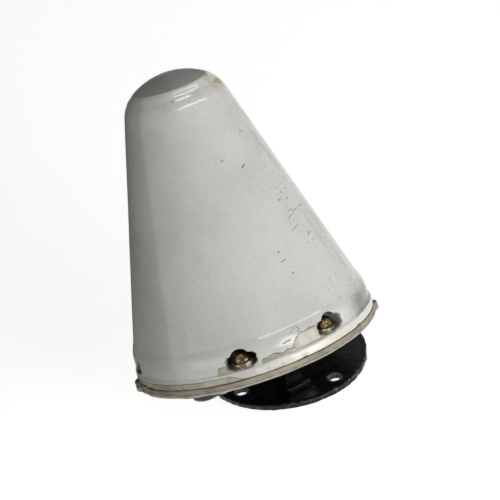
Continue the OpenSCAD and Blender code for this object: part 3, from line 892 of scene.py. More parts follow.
@dataclass(frozen=True)
class SolderMask:
    """Glass-epoxy circuit board under green solder mask: glossy, with tracks that stand a little proud.

    Attributes:
        mask: hex value of the mask over bare board.
        track: hex value of the mask over copper.
        track_mm: spacing of the tracks.
    """

    mask: str = "#1F5B37"
    track: str = "#2E7A4A"
    track_mm: float = 2.4

    def build(self) -> bpy.types.Material:
        """Makes the material.

        Returns:
            The material.
        """
        mix = Recipe("green_solder_mask")
        cells = add(mix.tree, "TexVoronoi", {"Vector": mix.place, "Scale": per(self.track_mm * 4)},
                    distance="CHEBYCHEV")
        bands = (Field(cells.outputs["Distance"]) * 4.0).reckoned("FRACT")
        tracks = bands.between((0.3, 0.36), (0.64, 0.7))
        colour = mix.tint(tracks, self.mask, self.track)
        normal = mix.relief(tracks, 0.05, mix.relief(mix.cloud(0.8, 2), 0.01))
        return mix.close(colour, mix.cloud(9, 3).ease(0.3, 0.7, 0.2, 0.34), normal, IOR=1.55)


# ---------------------------------------------------------------- meshes


class Cut(Enum):
    """What a boolean does with its tool."""

    JOIN = "UNION"
    REMOVE = "DIFFERENCE"
    KEEP_COMMON = "INTERSECT"


def arc(centre: tuple[float, float], radius: float, start: float, end: float,
        steps: int) -> list[tuple[float, float]]:
    """Points along an arc, both ends included.

    Args:
        centre: centre of the arc.
        radius: its radius.
        start: angle of the first point, in degrees.
        end: angle of the last point, in degrees.
        steps: number of stretches.

    Returns:
        The points.
    """
    angles = [math.radians(start + (end - start) * i / steps) for i in range(steps + 1)]
    return [(centre[0] + radius * math.cos(a), centre[1] + radius * math.sin(a)) for a in angles]


def line(start: tuple[float, float], end: tuple[float, float], step: float) -> list[tuple[float, float]]:
    """Evenly spaced points from start up to, and without, end.

    Args:
        start: first point.
        end: point that the line stops short of.
        step: largest distance between two points.

    Returns:
        The points.
    """
    count = max(1, math.ceil(math.dist(start, end) / step))
    return [(start[0] + (end[0] - start[0]) * i / count, start[1] + (end[1] - start[1]) * i / count)
            for i in range(count)]


def revolved(profile: Profile, steps: int, shaper: Shaper | None = None,
             closed: bool = False) -> bmesh.types.BMesh:
    """Turns a profile round Z.

    Args:
        profile: radius and height of each point. A radius of zero is a pole.
        steps: number of faces round the axis.
        shaper: gives a point's radius and height from its angle, radius and height.
        closed: joins the last point to the first.

    Returns:
        A mesh in millimetres.
    """
    mesh = bmesh.new()
    rows = []
    for radius, height in profile:
        if radius < 1e-6:
            rows.append([mesh.verts.new((0.0, 0.0, height))] * steps)
            continue
        row = []
        for step in range(steps):
            angle = 2 * math.pi * step / steps
            r, z = shaper(angle, radius, height) if shaper else (radius, height)
            row.append(mesh.verts.new((r * math.cos(angle), r * math.sin(angle), z)))
        rows.append(row)
    pairs = list(zip(rows, rows[1:] + ([rows[0]] if closed else [])))
    for low, high in pairs:
        for step in range(steps):
            after = (step + 1) % steps
            corners = list(dict.fromkeys((low[step], low[after], high[after], high[step])))
            if len(corners) > 2:
                mesh.faces.new(corners)
    bmesh.ops.recalc_face_normals(mesh, faces=mesh.faces)
    return mesh


def extruded(outline: Profile, depth: float, edge: float) -> bmesh.types.BMesh:
    """Extrudes an outline in XY along Z, with rounded end edges.

    Args:
        outline: the outline's corners.
        depth: length of the extrusion.
        edge: radius of the rounded edges.

    Returns:
        A mesh in millimetres that starts at Z = 0.
    """
    mesh = bmesh.new()
    rings = [[mesh.verts.new((x, y, z)) for x, y in outline] for z in (0.0, depth)]
    ends = [mesh.faces.new(rings[0][::-1]), mesh.faces.new(rings[1])]
    for i in range(len(outline)):
        j = (i + 1) % len(outline)
        mesh.faces.new((rings[0][i], rings[0][j], rings[1][j], rings[1][i]))
    rims = list({e for face in ends for e in face.edges})
    bmesh.ops.bevel(mesh, geom=rims, offset=edge, segments=3, profile=0.5, affect="EDGES", clamp_overlap=True)
    bmesh.ops.recalc_face_normals(mesh, faces=mesh.faces)
    return mesh


def gathered(meshes: Sequence[tuple[bmesh.types.BMesh, Matrix]]) -> bmesh.types.BMesh:
    """Puts meshes together in one.

    Args:
        meshes: each mesh, which is used up, and the matrix that moves it.

    Returns:
        The whole.
    """
    whole = bmesh.new()
    for mesh, move in meshes:
        mesh.transform(move)
        scrap = bpy.data.meshes.new("scrap")
        mesh.to_mesh(scrap)
        whole.from_mesh(scrap)
        bpy.data.meshes.remove(scrap)
        mesh.free()
    return whole


def combined(first: bmesh.types.BMesh, tool: bmesh.types.BMesh, how: Cut) -> bmesh.types.BMesh:
    """Joins, cuts or intersects two closed meshes.

    Args:
        first: mesh that is changed. It is used up.
        tool: mesh that changes it. It is used up.
        how: what is done.

    Returns:
        The result.
    """
    pair = []
    for mesh in (first, tool):
        data = bpy.data.meshes.new("scrap")
        mesh.to_mesh(data)
        mesh.free()
        pair.append(bpy.data.objects.new("scrap", data))
        bpy.context.scene.collection.objects.link(pair[-1])
    modifier = pair[0].modifiers.new("cut", "BOOLEAN")
    modifier.operation = how.value
    modifier.solver = "EXACT"
    modifier.object = pair[1]
    done = bpy.data.meshes.new_from_object(pair[0].evaluated_get(bpy.context.evaluated_depsgraph_get()))
    result = bmesh.new()
    result.from_mesh(done)
    for thing in pair:
        data = thing.data
        bpy.data.objects.remove(thing)
        bpy.data.meshes.remove(data)
    bpy.data.meshes.remove(done)
    bmesh.ops.remove_doubles(result, verts=result.verts, dist=1e-4)
    return result


def eased(mesh: bmesh.types.BMesh, reach: float, rounds: int, where: Callable[[Vector], bool]) -> None:
    """Rounds the sharp edges of a dense mesh by relaxing what lies round them.

    Args:
        mesh: mesh that is changed.
        reach: distance from a sharp edge that is relaxed.
        rounds: how often.
        where: says whether a sharp edge with that middle is rounded.
    """
    sharp = [e for e in mesh.edges
             if len(e.link_faces) == 2 and e.calc_face_angle(0.0) > math.radians(35)
             and where((e.verts[0].co + e.verts[1].co) / 2)]
    close = {v for e in sharp for v in e.verts}
    front = set(close)
    home = {v: v.co.copy() for v in close}
    for _ in range(3):
        grown = set()
        for vertex in front:
            for edge in vertex.link_edges:
                other = edge.other_vert(vertex)
                if other not in home and (other.co - home[vertex]).length < reach:
                    home[other] = home[vertex]
                    grown.add(other)
        close |= grown
        front = grown
    for _ in range(rounds):
        bmesh.ops.smooth_vert(mesh, verts=list(close), factor=0.5,
                              use_axis_x=True, use_axis_y=True, use_axis_z=True)


def lump(angle: float, height: float, size: float, seed: float) -> float:
    """Smooth random value from -1 to 1 that closes on itself round the axis.

    Args:
        angle: angle round the axis, in radians.
        height: place along the axis or profile, in millimetres.
        size: size of a lump, in millimetres at the rim.
        seed: picks one pattern.

    Returns:
        The value.
    """
    spread = RIM_MM / size
    x, y = spread * math.cos(angle), spread * math.sin(angle) + seed * 7.3
    return noise.noise(Vector((x, y, height / size + seed)))


def finished(name: str, mesh: bmesh.types.BMesh, move: Matrix, material: bpy.types.Material, body: str,
             stands_for: Sequence[str], crease: float = 40.0) -> bpy.types.Object:
    """Makes a piece of a mesh in millimetres.

    Args:
        name: the piece's name.
        mesh: its mesh. It is used up.
        move: takes the mesh, in metres, to the part's frame.
        material: its finish.
        body: the body that it rides on.
        stands_for: CAD nodes that it replaces.
        crease: angle above which an edge is drawn sharp, in degrees.

    Returns:
        The piece.
    """
    mesh.transform(move @ Matrix.Scale(MM, 4))
    bmesh.ops.recalc_face_normals(mesh, faces=mesh.faces)
    data = bpy.data.meshes.new(name)
    mesh.to_mesh(data)
    mesh.free()
    data.polygons.foreach_set("use_smooth", [True] * len(data.polygons))
    data.set_sharp_from_angle(angle=math.radians(crease))
    data.materials.append(material)
    piece = bpy.data.objects.new(name, data)
    bpy.context.scene.collection.objects.link(piece)
    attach(piece, body)
    if stands_for:
        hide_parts(*stands_for)
    LOG.info("%s: %d faces, rides on %s", name, len(data.polygons), body)
    return piece


# ---------------------------------------------------------------- sub-assemblies


@dataclass(frozen=True)
class ScrewRing:
    """Where the radome's screws stand: in pairs round the rim, each leaning outward.

    A screw's own frame has its origin at the centre of its seat, +Z up its axis and +X outward.

    Attributes:
        ring: radius of the circle that the seats' centres stand on, in millimetres.
        pairs: number of pairs.
        turn: azimuth of the first pair's middle, in degrees.
        spread: angle between the two screws of a pair, in degrees.
        lean: how far a screw's axis leans outward, in degrees.
        seat: height of the seats, in millimetres.
    """

    ring: float
    pairs: int = 3
    turn: float = -8.0
    spread: float = 47.0
    lean: float = 15.0
    seat: float = 8.8

    def places(self) -> list[Matrix]:
        """Works out where the screws stand.

        Returns:
            For each screw, what takes its own frame to the head frame, in millimetres.
        """
        turns = [self.turn + side * self.spread / 2 + i * 360 / self.pairs
                 for side in (-1, 1) for i in range(self.pairs)]
        return [Matrix.Rotation(math.radians(turn), 4, "Z") @ Matrix.Translation((self.ring, 0, self.seat))
                @ Matrix.Rotation(math.radians(self.lean), 4, "Y") for turn in turns]

    def around(self, make: Callable[[], bmesh.types.BMesh]) -> bmesh.types.BMesh:
        """One mesh at each screw."""
        return gathered([(make(), place) for place in self.places()])


@dataclass
class Radome:
    """The conical cover: a glass-fibre shell with six arched screw recesses round its foot.

    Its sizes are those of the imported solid. What it adds is the hand-laid surface: slow waves, rounded
    recess mouths, and a lip with a soft upper edge that is chipped along its lower one.
    """

    head: HeadFrame
    screws: ScrewRing
    finish: AgedGelcoat
    wall: float = 3.0
    crown_r: float = 46.5
    gate_r: float = 3.0
    top_r: float = 12.5
    top_fillet: float = 23.5
    shoulder_z: float = 23.0
    shoulder_inset: float = 4.4
    bulge_r: float = 25.0
    lip_proud: float = 1.3
    lip_h: float = 6.0
    ogee: tuple[tuple[float, float], ...] = ((0.0, 1.6), (0.08, 1.0), (0.3, 0.4), (0.65, -0.2), (0.92, -0.9))
    slot_r: float = 10.0
    slot_h: float = 3.0
    slot_climb: float = 25.0
    arch_r: float = 7.2
    arch_h: float = 12.4
    recess_wall: float = 2.4
    floor_t: float = 3.5
    shank_r: float = 3.3
    steps: int = 360

    def __post_init__(self) -> None:
        """Works out the outline's arcs from the sizes."""
        self.rim_r = self.head.rim_r
        self.band_r = self.rim_r - self.lip_proud
        self.bulge_x = self.band_r - self.bulge_r
        self.cone_end = (self.rim_r - self.shoulder_inset, self.shoulder_z)
        self.bulge_z = self.shoulder_z - math.sqrt(self.bulge_r**2 - (self.cone_end[0] - self.bulge_x) ** 2)
        self.crown = (0.0, self.head.height - math.sqrt(self.crown_r**2 - self.gate_r**2))
        rise = math.sqrt((self.crown_r - self.top_fillet) ** 2 - self.top_r**2)
        self.cap = (self.top_r, self.crown[1] + rise)
        self.crown_edge = math.degrees(math.atan2(rise, self.top_r))
        run = (self.cone_end[0] - self.cap[0], self.cap[1] - self.cone_end[1])
        self.taper = math.atan2(*run) - math.asin(self.top_fillet / math.hypot(*run))

    def outer(self, height: float) -> float:
        """Outer radius of the cone, crown and shoulder.

        Args:
            height: height over the rim, in millimetres.

        Returns:
            The radius, in millimetres, without the lip.
        """
        if height > self.crown[1] + self.crown_r * math.sin(math.radians(self.crown_edge)):
            return math.sqrt(max(0.0, self.crown_r**2 - (height - self.crown[1]) ** 2))
        if height > self.cap[1] + self.top_fillet * math.sin(self.taper):
            return self.cap[0] + math.sqrt(self.top_fillet**2 - (height - self.cap[1]) ** 2)
        if height >= self.shoulder_z:
            return self.cone_end[0] - (height - self.shoulder_z) * math.tan(self.taper)
        if height > self.bulge_z:
            return self.bulge_x + math.sqrt(self.bulge_r**2 - (height - self.bulge_z) ** 2)
        return self.band_r

    def profile(self) -> list[tuple[float, float]]:
        """Draws the shell's outline.

        Returns:
            Radius and height of its points, from the outer pole down to the rim and up to the inner pole.
        """
        taper = math.degrees(self.taper)
        top = self.head.height
        gate = math.degrees(math.acos(self.gate_r / self.crown_r))
        points = [(0.0, top)] + arc(self.crown, self.crown_r, gate, self.crown_edge, 12)[:-1]
        points += arc(self.cap, self.top_fillet, self.crown_edge, taper, 18)[:-1]
        cone_top = (self.cap[0] + self.top_fillet * math.cos(self.taper),
                    self.cap[1] + self.top_fillet * math.sin(self.taper))
        points += line(cone_top, (self.outer(self.shoulder_z + 1), self.shoulder_z + 1), 3.0)
        points += line((self.outer(self.shoulder_z + 1), self.shoulder_z + 1), self.cone_end, 0.5)
        first = math.degrees(math.asin((self.shoulder_z - self.bulge_z) / self.bulge_r))
        points += arc((self.bulge_x, self.bulge_z), self.bulge_r, first, 0, 24)
        points += line((self.band_r, self.bulge_z), (self.band_r, self.lip_h + 1.6), 0.8)[1:]
        points += [(self.band_r + share * self.lip_proud, self.lip_h + rise) for share, rise in self.ogee]
        points += line((self.rim_r, self.lip_h - 1.8), (self.rim_r, 0.6), 0.8)
        points += arc((self.rim_r - 0.6, 0.6), 0.6, 0, -90, 4)
        inner_band = self.band_r - self.wall
        points += line((self.rim_r - 1.2, 0.0), (inner_band, 0.0), 1.0)
        points += line((inner_band, 0.0), (inner_band, self.bulge_z), 2.0)
        points += arc((self.bulge_x, self.bulge_z), self.bulge_r - self.wall, 0, first, 6)[:-1]
        shift = self.wall / math.cos(self.taper)
        inner_top = (cone_top[0] - self.wall, cone_top[1])
        points += line((self.cone_end[0] - shift, self.shoulder_z), inner_top, 12.0)
        points += arc(self.cap, self.top_fillet - self.wall, taper, self.crown_edge, 6)[:-1]
        points += arc(self.crown, self.crown_r - self.wall, self.crown_edge, gate, 6)
        return points + [(0.0, top - self.wall)]

    def surface(self, angle: float, radius: float, height: float) -> tuple[float, float]:
        """Moves a point of the outline to where the hand-laid shell has it.

        Args:
            angle: the point's angle round the axis, in radians.
            radius: its radius in the outline.
            height: its height in the outline.

        Returns:
            Its radius and height.
        """
        inside = radius < self.outer(height) - 0.5 and height < self.head.height - 0.5
        if inside:
            return radius, height
        radius += 0.14 * lump(angle, height, 34, 1.0)
        if height <= self.lip_h - 0.2 and radius > self.band_r - 1:
            ragged = 0.16 * lump(angle, height, 9, 2.0) + 0.1 * lump(angle, height, 3.5, 3.0)
            chip = max(0.0, lump(angle, 0.0, 7, 4.0) - 0.34) * 3.6
            near_edge = max(0.0, 1 - height / 2.6)
            radius += ragged - chip * near_edge
            height += min(0.7, chip * near_edge * 0.5)
        return radius, height

    def arch(self, radius: float, floor: float, reach: float) -> bmesh.types.BMesh:
        """Alcove round a screw's head: rounded at the back, arched above, and open along +X.

        Args:
            radius: half of its width.
            floor: height of its floor.
            reach: how far it runs along +X.

        Returns:
            A closed mesh in a screw's own frame.
        """
        spring = self.arch_h - self.arch_r
        half = line((0.0, floor), (radius, floor), 1.2) + line((radius, floor), (radius, spring), 0.9)
        half += arc((0.0, spring), radius, 0, 90, 16)
        stations = [(x, 90.0) for x in range(int(reach), 0, -1)]
        stations += [(0.0, 90.0 + 180.0 * i / 32) for i in range(33)]
        stations += [(x, 270.0) for x in range(1, int(reach) + 1)]
        mesh = bmesh.new()
        rows = [[mesh.verts.new((x + r * math.cos(math.radians(a)), r * math.sin(math.radians(a)), z))
                 for r, z in half] for x, a in stations]
        for low, high in zip(rows, rows[1:]):
            for i in range(len(half) - 1):
                mesh.faces.new((low[i], high[i], high[i + 1], low[i + 1]))
        bmesh.ops.remove_doubles(mesh, verts=mesh.verts, dist=1e-4)
        bmesh.ops.holes_fill(mesh, edges=[e for e in mesh.edges if e.is_boundary], sides=0)
        bmesh.ops.recalc_face_normals(mesh, faces=mesh.faces)
        return mesh

    def slot(self, grow: float, floor: float, reach: float) -> bmesh.types.BMesh:
        """Room for a washer: its disc, swept outward and a little upward through the shoulder.

        Args:
            grow: how far it is enlarged all round.
            floor: height of its floor at the seat.
            reach: length of the sweep.

        Returns:
            A closed mesh in a screw's own frame.
        """
        climb = math.radians(self.slot_climb)
        sweep = (reach * math.cos(climb), reach * math.sin(climb))
        mesh = bmesh.new()
        for x, y in arc((0, 0), self.slot_r + grow, 0, 360, 64)[:-1]:
            for z in (floor, self.slot_h + grow):
                mesh.verts.new((x, y, z))
                mesh.verts.new((x + sweep[0], y, z + sweep[1]))
        hull = bmesh.ops.convex_hull(mesh, input=mesh.verts)
        bmesh.ops.delete(mesh, geom=[v for v in hull["geom_interior"] if isinstance(v, bmesh.types.BMVert)],
                         context="VERTS")
        bmesh.ops.recalc_face_normals(mesh, faces=mesh.faces)
        return mesh

    def filling(self) -> bmesh.types.BMesh:
        """Makes a solid that fills the cover to just under its outer surface.

        Returns:
            A closed mesh in the head frame.
        """
        heights = (150, 90, 50, 30, self.shoulder_z, 20, 17, 14, 11, 6, 1)
        outline = [(self.outer(z) - 0.4, z) for z in heights]
        return revolved([(0.0, self.head.height - self.wall)] + outline + [(0.0, 1.0)], 96)

    def build(self) -> bpy.types.Object:
        """Makes the radome.

        Returns:
            The piece.
        """
        shell = revolved(self.profile(), self.steps, self.surface)
        arches = self.screws.around(lambda: self.arch(self.arch_r + self.recess_wall, -self.floor_t, 16))
        slots = self.screws.around(lambda: self.slot(self.recess_wall, -self.floor_t, 16))
        for housings in (arches, slots):
            shell = combined(shell, combined(housings, self.filling(), Cut.KEEP_COMMON), Cut.JOIN)
        shell = combined(shell, self.screws.around(lambda: self.arch(self.arch_r, 0.0, 18)), Cut.REMOVE)
        shell = combined(shell, self.screws.around(lambda: self.slot(0.0, 0.0, 18)), Cut.REMOVE)
        shank = arc((0, 0), self.shank_r, 0, 360, 32)[:-1]
        drill = Matrix.Translation((0, 0, -self.floor_t - 2))
        holes = self.screws.around(lambda: gathered([(extruded(shank, self.floor_t + 4, 0.01), drill)]))
        shell = combined(shell, holes, Cut.REMOVE)
        mouth = self.band_r - 2.2

        def at_mouth(middle: Vector) -> bool:
            """Says whether an edge lies at a recess's mouth.

            Args:
                middle: the edge's middle, in the head frame.

            Returns:
                Whether it does.
            """
            radius = math.hypot(middle.x, middle.y)
            outside = radius > min(mouth, self.outer(middle.z) - 0.3)
            return outside and self.lip_h + 0.3 < middle.z < self.shoulder_z - 1.0

        eased(shell, 1.3, 5, at_mouth)
        material = self.finish.build(self.head, self.outer, (self.bulge_x, self.bulge_z, self.bulge_r))
        return finished("radome_shell", shell, self.head.place, material, "head", ["radome"])


@dataclass
class SealantBead:
    """The sealant round the base: two passes, one over the other, lumpy, sagging and torn in places.

    Attributes:
        thin: how much thinner, in millimetres, the lower pass is on the side that leans down.
        blobs: azimuth in degrees, half width in degrees and bulk in millimetres of each blob.
        sags: azimuth in degrees, half width in degrees and drop in millimetres of each sag.
    """

    head: HeadFrame
    finish: CuredSealant
    inner_r: float = 80.2
    under_r: float = 72.5
    proud: float = 0.4
    under: float = -7.3
    tray_under: float = -5.0
    steps: int = 480
    thin: float = 1.9
    blobs: tuple[tuple[float, float, float], ...] = (
        (-109.0, 5.0, 2.6),
        (-99.0, 3.0, 0.9),
        (64.0, 4.0, 2.2),
    )
    sags: tuple[tuple[float, float, float], ...] = (
        (-60.0, 8.0, 0.5),
        (-44.0, 3.0, 0.7),
        (-106.0, 7.0, 1.1),
        (112.0, 8.0, 0.8),
        (205.0, 6.0, 0.7),
    )

    def section(self) -> list[tuple[float, float]]:
        """Draws the bead's cross-section.

        Returns:
            Radius and height of its points, from its top inner corner outward and round.
        """
        outer = self.head.rim_r + self.proud
        furrow = self.finish.furrow
        points = line((self.inner_r, -0.12), (outer - 0.9, -0.12), 0.7)
        points += arc((outer - 0.9, -1.0), 0.88, 90, 0, 4)
        points += line((outer, -1.2), (outer, furrow + 0.5), 0.45)
        points += arc((outer, furrow), 0.5, 90, 270, 4)
        points += line((outer + 0.1, furrow - 0.6), (outer, self.under + 1.5), 0.45)
        points += arc((outer - 1.5, self.under + 1.5), 1.5, 0, -90, 5)
        points += line((outer - 1.6, self.under), (self.under_r, self.under), 1.0)
        points += arc((self.under_r, self.under + 0.9), 0.9, -90, -180, 3)
        step = self.tray_under - 0.02
        points += [(self.under_r - 0.9, step)]
        points += line((self.under_r, step), (self.inner_r, step), 1.5)[1:]
        return points + line((self.inner_r, step), (self.inner_r, -0.12), 1.0)

    def surface(self, angle: float, radius: float, height: float) -> tuple[float, float]:
        """Moves a point of the section to where the hand left it.

        Args:
            angle: the point's angle round the axis, in radians.
            radius: its radius in the section.
            height: its height in the section.

        Returns:
            Its radius and height.
        """
        if radius < self.inner_r + 0.05 and height > self.tray_under - 0.1:
            return radius, height
        free = min(1.0, max(0.0, (radius - self.inner_r) / 1.6))
        low = min(1.0, max(0.0, (self.tray_under + 0.5 - height) / 2.0))
        degrees = (math.degrees(angle) + 180) % 360 - 180
        swell = 0.38 * lump(angle, height, 26, 5.0) + 0.3 * lump(angle, height * 1.6, 8, 6.0)
        swell += 0.16 * lump(angle, height, 3.2, 7.0)
        tooled = 0.45 * lump(angle, 0.0, 18, 8.0)
        drop, bulk = (sum(size * max(0.0, 1 - (((degrees - azimuth + 180) % 360 - 180) / half) ** 2) ** 2
                          for azimuth, half, size in places) for places in (self.sags, self.blobs))
        torn = 0.5 * max(0.0, lump(angle, 0.0, 5, 9.0) - 0.25) * low
        lean = 0.5 + 0.5 * math.cos(math.radians(degrees))
        sunk = low * (drop - torn - self.thin * lean)
        radius += free * (swell + bulk + (0.35 * drop if height < self.finish.furrow else 0.0))
        height += 0.4 * tooled * free * (1.0 if height < -1.0 else 0.0) - sunk
        return radius, height

    def build(self) -> bpy.types.Object:
        """Makes the bead.

        Returns:
            The piece.
        """
        mesh = revolved(self.section(), self.steps, self.surface, closed=True)
        return finished("sealant_run", mesh, self.head.place, self.finish.build(self.head), "head",
                        ["sealant_bead"], 60.0)


@dataclass
class RimFasteners:
    """The oval-head screws in the recesses and the cup washers under their heads.

    Attributes:
        foot: height of a screw's foot over its seat, in millimetres.
        slot_half: half the length of the cross recess.
        slot_w: width of the cross recess.
        slot_depth: depth of the cross recess.
    """

    head: HeadFrame
    screws: ScrewRing
    screw_finish: Metal
    washer_finish: Metal
    shank_r: float = 3.0
    foot: float = -10.8
    head_r: float = 6.6
    head_h: float = 6.2
    washer_r: float = 9.5
    washer_h: float = 2.4
    slot_half: float = 3.1
    slot_w: float = 1.2
    slot_depth: float = 1.8

    def screw(self) -> bmesh.types.BMesh:
        """Makes one screw with a cross recess in its domed head.

        Returns:
            A closed mesh in a screw's own frame.
        """
        seat = self.washer_h
        dome_r = (self.head_r**2 + (self.head_h - 0.7) ** 2) / (2 * (self.head_h - 0.7))
        edge = math.degrees(math.asin(min(1.0, (self.head_r - 0.15) / dome_r)))
        profile = [(0.0, self.foot), (self.shank_r - 0.5, self.foot), (self.shank_r, self.foot + 0.5),
                   (self.shank_r, seat)]
        profile += [(self.head_r - 0.3, seat), (self.head_r, seat + 0.3), (self.head_r, seat + 0.55)]
        dome = arc((0.0, seat + self.head_h - dome_r), dome_r, 90 - edge, 90, 14)
        profile += dome[:-1] + [(0.0, seat + self.head_h)]
        mesh = revolved(profile, 64)
        half, width = self.slot_half, self.slot_w / 2
        corners = []
        for turn in range(4):
            cos, sin = round(math.cos(turn * math.pi / 2)), round(math.sin(turn * math.pi / 2))
            corners += [(x * cos - y * sin, x * sin + y * cos)
                        for x, y in ((half, -width), (half, width), (width, width))]
        cross = extruded(corners, 4.0, 0.02)
        cross.transform(Matrix.Translation((0, 0, seat + self.head_h - self.slot_depth)))
        return combined(mesh, cross, Cut.REMOVE)

    def washer(self) -> bmesh.types.BMesh:
        """Makes one pressed washer: a rolled foot, a hollow flank and a rounded crest under the head.

        Returns:
            A closed mesh in a screw's own frame.
        """
        crest = self.head_r + 0.35
        profile = arc((self.washer_r - 0.42, 0.44), 0.42, -90, 80, 7)
        profile += arc((self.washer_r + 0.1, self.washer_h + 0.3), 2.2, 236, 200, 6)
        profile += arc((crest, self.washer_h - 0.35), 0.33, 20, 90, 4)
        profile += [(self.head_r - 0.4, self.washer_h - 0.03), (self.shank_r + 0.2, self.washer_h - 0.03),
                    (self.shank_r + 0.2, 0.02)]
        return revolved(profile, 72, closed=True)

    def build(self) -> None:
        """Makes the screws and the washers."""
        for name, make, finish, slot, node in (
            ("rim_screws", self.screw, self.screw_finish, "screw_brass", "radome_screws"),
            ("rim_cup_washers", self.washer, self.washer_finish, "washer_metal", "cup_washers"),
        ):
            ring = gathered([(make(), place @ Matrix.Rotation(math.radians(37.0 * i + 12), 4, "Z"))
                             for i, place in enumerate(self.screws.places())])
            finished(name, ring, self.head.place, finish.build(), "head", [node], 30.0)


@dataclass
class DeckFlange:
    """The deck flange: a cast disc with four bolt holes and the lug that carries the tilt pivot.

    The edge is uneven under its thick paint. Its sizes are in the part's own frame.

    Attributes:
        pivot: the tilt pivot's place.
        lug_from: where the lug begins along Y.
        lug_to: where it ends.
        holes: the bolt holes.
        knuckle_r: radius of the lug's round top.
        knuckle_from: angle over which that top runs on below its middle, in degrees.
        web_half: half width of the lug's foot.
        bore_r: radius of the pivot's bore.
        foot: width, depth and height of the low foot that the lug stands on.
        foot_corner: radius of the foot's corners.
    """

    finish: bpy.types.Material
    pivot: Vector
    lug_from: float
    lug_to: float
    disc_r: float = 56.0
    disc_t: float = 4.0
    holes: HoleRing = HoleRing()
    knuckle_r: float = 9.5
    knuckle_from: float = 24.0
    web_half: float = 8.7
    bore_r: float = 4.02
    foot: tuple[float, float, float] = (30.0, 18.0, 3.0)
    foot_corner: float = 2.5
    steps: int = 300

    def surface(self, angle: float, radius: float, height: float) -> tuple[float, float]:
        """Moves a point of the disc's outline out or in, where paint has gathered or chipped.

        Args:
            angle: the point's angle round the axis, in radians.
            radius: its radius in the outline.
            height: its height in the outline.

        Returns:
            Its radius and height.
        """
        if radius < self.disc_r - 3:
            return radius, height
        swell = 0.45 * lump(angle, height * 2, 22, 11.0) + 0.45 * lump(angle, height * 3, 6, 12.0)
        chip = 2.0 * max(0.0, lump(angle, 0.0, 9, 13.0) - 0.32)
        return radius + swell - chip - 0.15, height

    def disc(self) -> bmesh.types.BMesh:
        """Makes the disc with its bolt holes.

        Returns:
            A closed mesh.
        """
        edge = 1.1
        profile = [(0.0, self.disc_t)] + [(r, self.disc_t) for r in range(6, int(self.disc_r) - 2, 3)]
        profile += arc((self.disc_r - edge, self.disc_t - edge), edge, 90, 0, 4)
        profile += line((self.disc_r, self.disc_t - edge), (self.disc_r, 0.7), 0.6)[1:]
        profile += arc((self.disc_r - 0.7, 0.7), 0.7, 0, -90, 3)
        profile += [(self.disc_r - 6, 0.0), (self.disc_r / 2, 0.0), (0.0, 0.0)]
        mesh = revolved(profile, self.steps, self.surface)
        circle = arc((0, 0), self.holes.hole_r, 0, 360, 48)[:-1]
        out = Matrix.Translation((self.holes.ring, 0, -2))
        drills = gathered([(extruded(circle, self.disc_t + 4, 0.01), Matrix.Rotation(azimuth, 4, "Z") @ out)
                           for azimuth in self.holes.azimuths()])
        return combined(mesh, drills, Cut.REMOVE)

    def lug(self) -> bmesh.types.BMesh:
        """Makes the lug: a round-topped block across the pivot, on a low foot.

        Returns:
            A closed mesh.
        """
        x, z = self.pivot.x, self.pivot.z
        outline = [(x - self.web_half, self.disc_t - 1), (x + self.web_half, self.disc_t - 1)]
        outline += arc((x, z), self.knuckle_r, -self.knuckle_from, 180 + self.knuckle_from, 28)
        block = extruded(outline, self.lug_to - self.lug_from, 0.9)
        stand = Matrix.Translation((0, self.lug_to, 0)) @ Matrix.Rotation(math.radians(90), 4, "X")
        width, depth, height = self.foot
        corner = self.foot_corner
        plan = []
        for sx, sy, first in ((1, 1, 0), (-1, 1, 90), (-1, -1, 180), (1, -1, 270)):
            plan += arc((sx * (width / 2 - corner), sy * (depth / 2 - corner)), corner, first, first + 90, 5)
        base = extruded(plan, height + 1, 1.0)
        block.transform(stand)
        base.transform(Matrix.Translation((x, (self.lug_from + self.lug_to) / 2, self.disc_t - 1)))
        return combined(block, base, Cut.JOIN)

    def build(self) -> bpy.types.Object:
        """Makes the flange.

        Returns:
            The piece.
        """
        whole = combined(self.disc(), self.lug(), Cut.JOIN)
        bore = extruded(arc((0, 0), self.bore_r, 0, 360, 48)[:-1], self.lug_to - self.lug_from + 4, 0.01)
        bore.transform(Matrix.Translation((self.pivot.x, self.lug_to + 2, self.pivot.z))
                       @ Matrix.Rotation(math.radians(90), 4, "X"))
        whole = combined(whole, bore, Cut.REMOVE)
        return finished("deck_flange", whole, Matrix.Identity(4), self.finish, "mount",
                        ["mount_flange"], 38.0)


